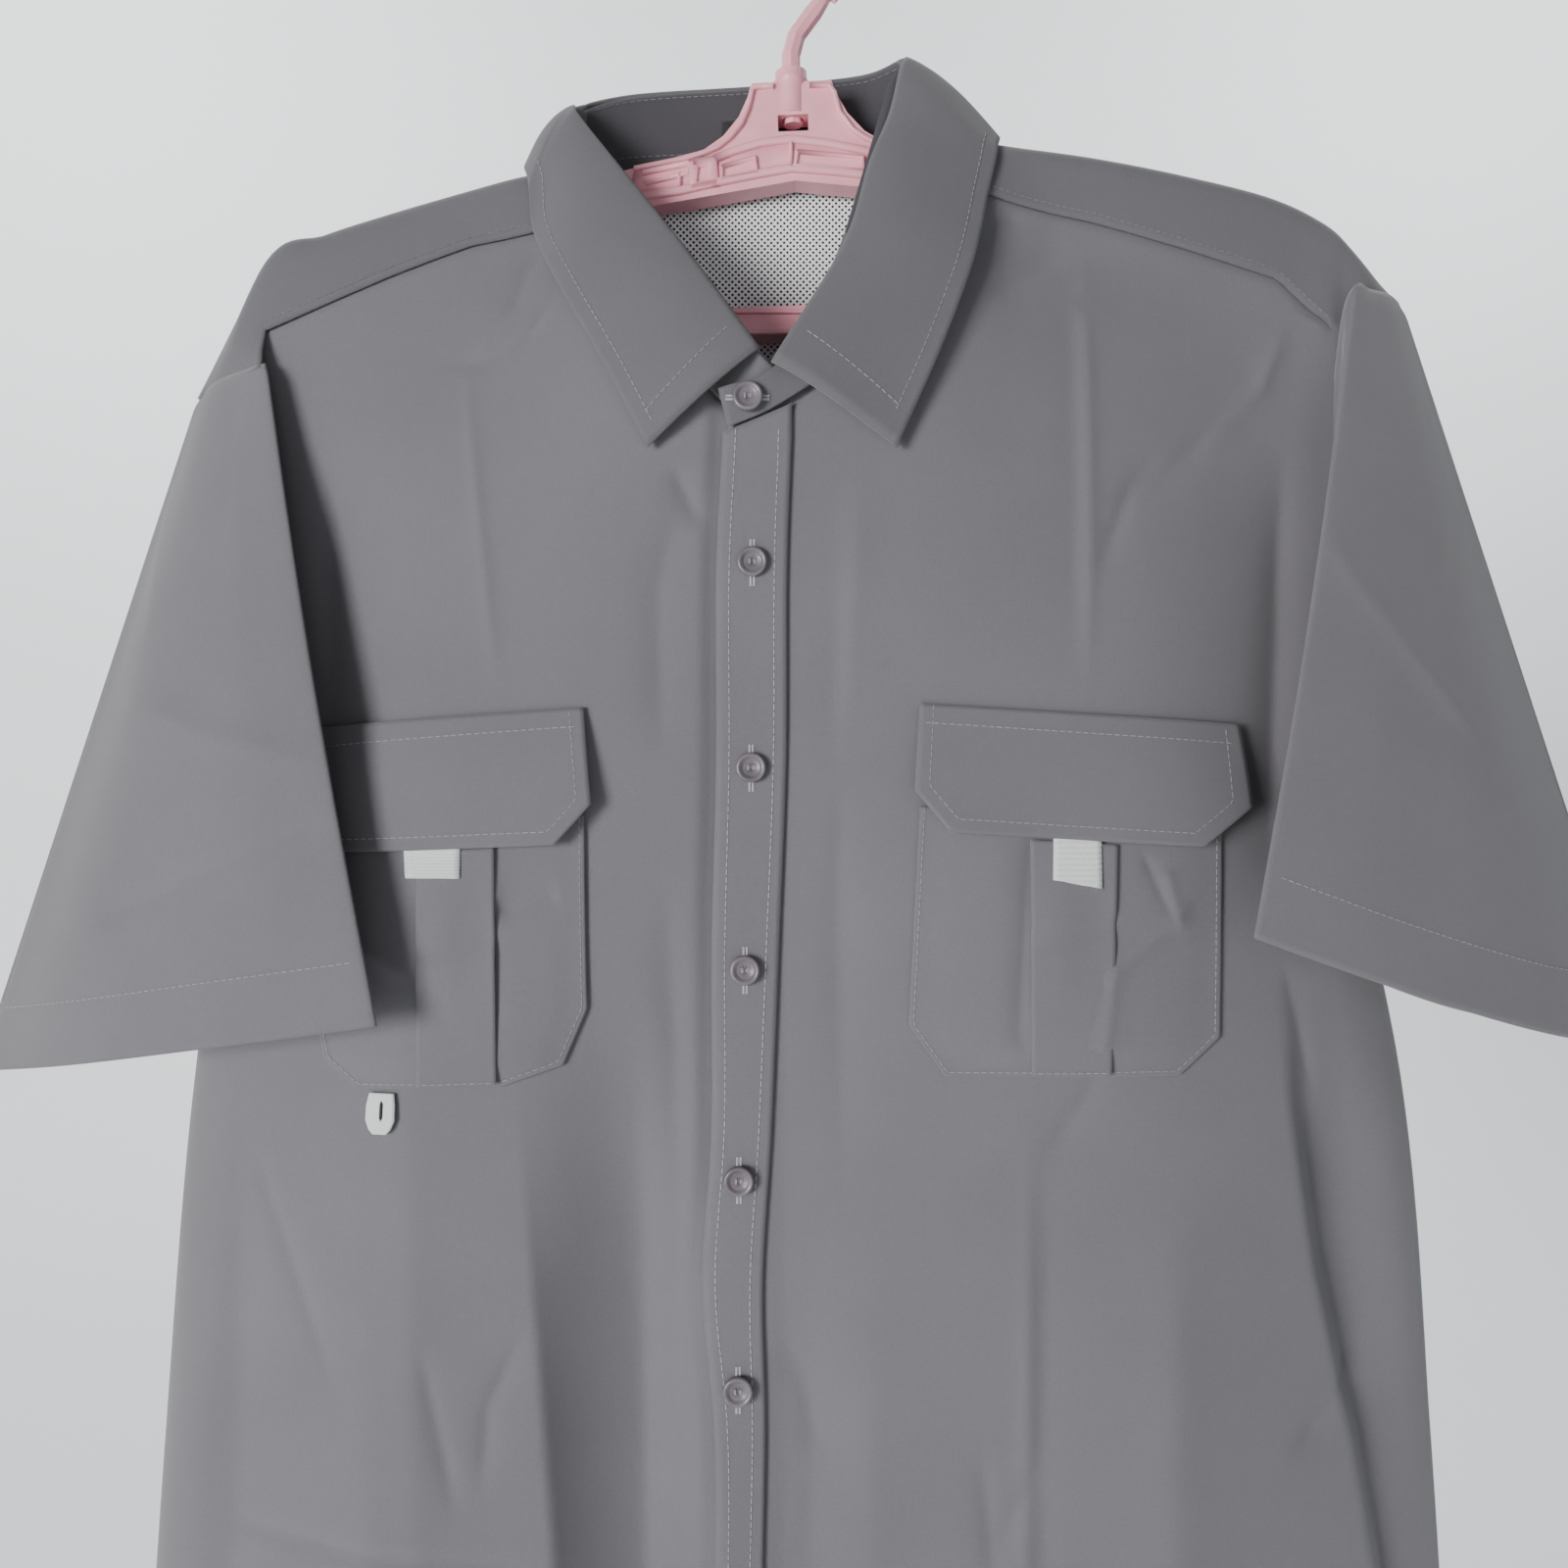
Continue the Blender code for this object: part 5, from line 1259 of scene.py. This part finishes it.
def buttonhole(name, middle, up, side, names, half):
    """An upright buttonhole behind a button: two rows of close stitches round a slit."""
    verts, faces = [], []
    for step in np.arange(-half, half + 1e-6, 0.00045):
        for across in (-1, 1):
            inner = middle + up * step + side * across * 0.00015
            outer = middle + up * step + side * across * 0.00115
            start = cast(names, inner[0], inner[2], BEFORE, 1, STITCH_LIFT_THICK)
            end = cast(names, outer[0], outer[2], BEFORE, 1, STITCH_LIFT_THICK)
            if start is not None and end is not None:
                stitch_shape(start, end, 0.00025, verts, faces)
    extra(mesh_object(name, verts, faces), THREAD_PALE)


def all_buttons():
    """The six front buttons and the collar button, each with its buttonhole."""
    for end in BUTTONS:
        middle, up, side = button_face(f"shirt_button_{end}", f"button_{end}")
        if end == "collar":
            buttonhole("buttonhole_collar", middle, side, up, ["shirt_collar_stand"], 0.0085)
        else:
            buttonhole(f"buttonhole_{end}", middle, up, side, ["shirt_placket"], 0.0092)


all_buttons()


# Stage, light and camera

FLOOR = -1.25            # height of the floor
STAGE_WALL = 2.4         # y of the wall
BEND = 0.8               # radius of the round between floor and wall

# Soft rectangular lights: name, place, target, size, power, colour
LIGHTS = (
    ("key", (-2.3, -3.0, -0.45), (0.0, 0.0, -0.42), 1.3, 185.0, (1.0, 0.985, 0.985)),
    ("fill", (0.5, -2.1, -0.5), (0.0, 0.0, -0.45), 1.2, 6.5, (0.97, 0.98, 1.0)),
    ("wall_left", (-1.6, 1.0, 1.4), (-0.8, 2.4, 0.0), 1.4, 42.0, (0.97, 1.0, 1.0)),
    ("wall_right", (1.6, 1.0, 1.4), (0.8, 2.4, 0.0), 1.4, 42.0, (0.97, 1.0, 1.0)),
)
CAMERA_PLACE = (0.0, -0.6, -0.378)
CAMERA_ANGLE = 58.5      # degrees across the picture


def stage():
    """A pale floor that curves up into a pale wall far behind."""
    shape = [(-9.0, FLOOR), (STAGE_WALL - BEND, FLOOR)]
    for turn in np.radians(np.linspace(0.0, 90.0, 12)[1:]):
        shape.append((STAGE_WALL - BEND + BEND * math.sin(turn), FLOOR + BEND - BEND * math.cos(turn)))
    shape.append((STAGE_WALL, 6.0))
    grid = [[(x, y, z) for y, z in shape] for x in (-10.0, 10.0)]
    made = grid_object("studio_sweep", [grid])
    paint = start_material("studio_paint", {"Base Color": (0.86, 0.885, 0.895, 1.0), "Roughness": 0.9})
    made.data.materials.append(paint[0])


def lights_and_camera():
    """Soft light from the upper left in front, a weaker one from the right, and the camera."""
    for name, place, target, size, power, colour in LIGHTS:
        data = bpy.data.lights.new(name, "AREA")
        data.size = size
        data.energy = power
        data.color = colour
        light = add_object(name, data)
        light.location = place
        light.rotation_euler = (Vector(target) - Vector(place)).to_track_quat("-Z", "Y").to_euler()
    world = bpy.data.worlds.new("studio")
    world.use_nodes = True
    sky = {"Color": (0.9, 0.94, 1.0, 1.0), "Strength": 0.21}
    fill(world.node_tree, world.node_tree.nodes["Background"], sky)
    bpy.context.scene.world = world
    data = bpy.data.cameras.new("photo_camera")
    data.sensor_width = 36.0
    data.angle = math.radians(CAMERA_ANGLE)
    camera = add_object("photo_camera", data)
    camera.location = CAMERA_PLACE
    camera.rotation_euler = (math.radians(90.0), 0.0, 0.0)
    bpy.context.scene.camera = camera


stage()
lights_and_camera()
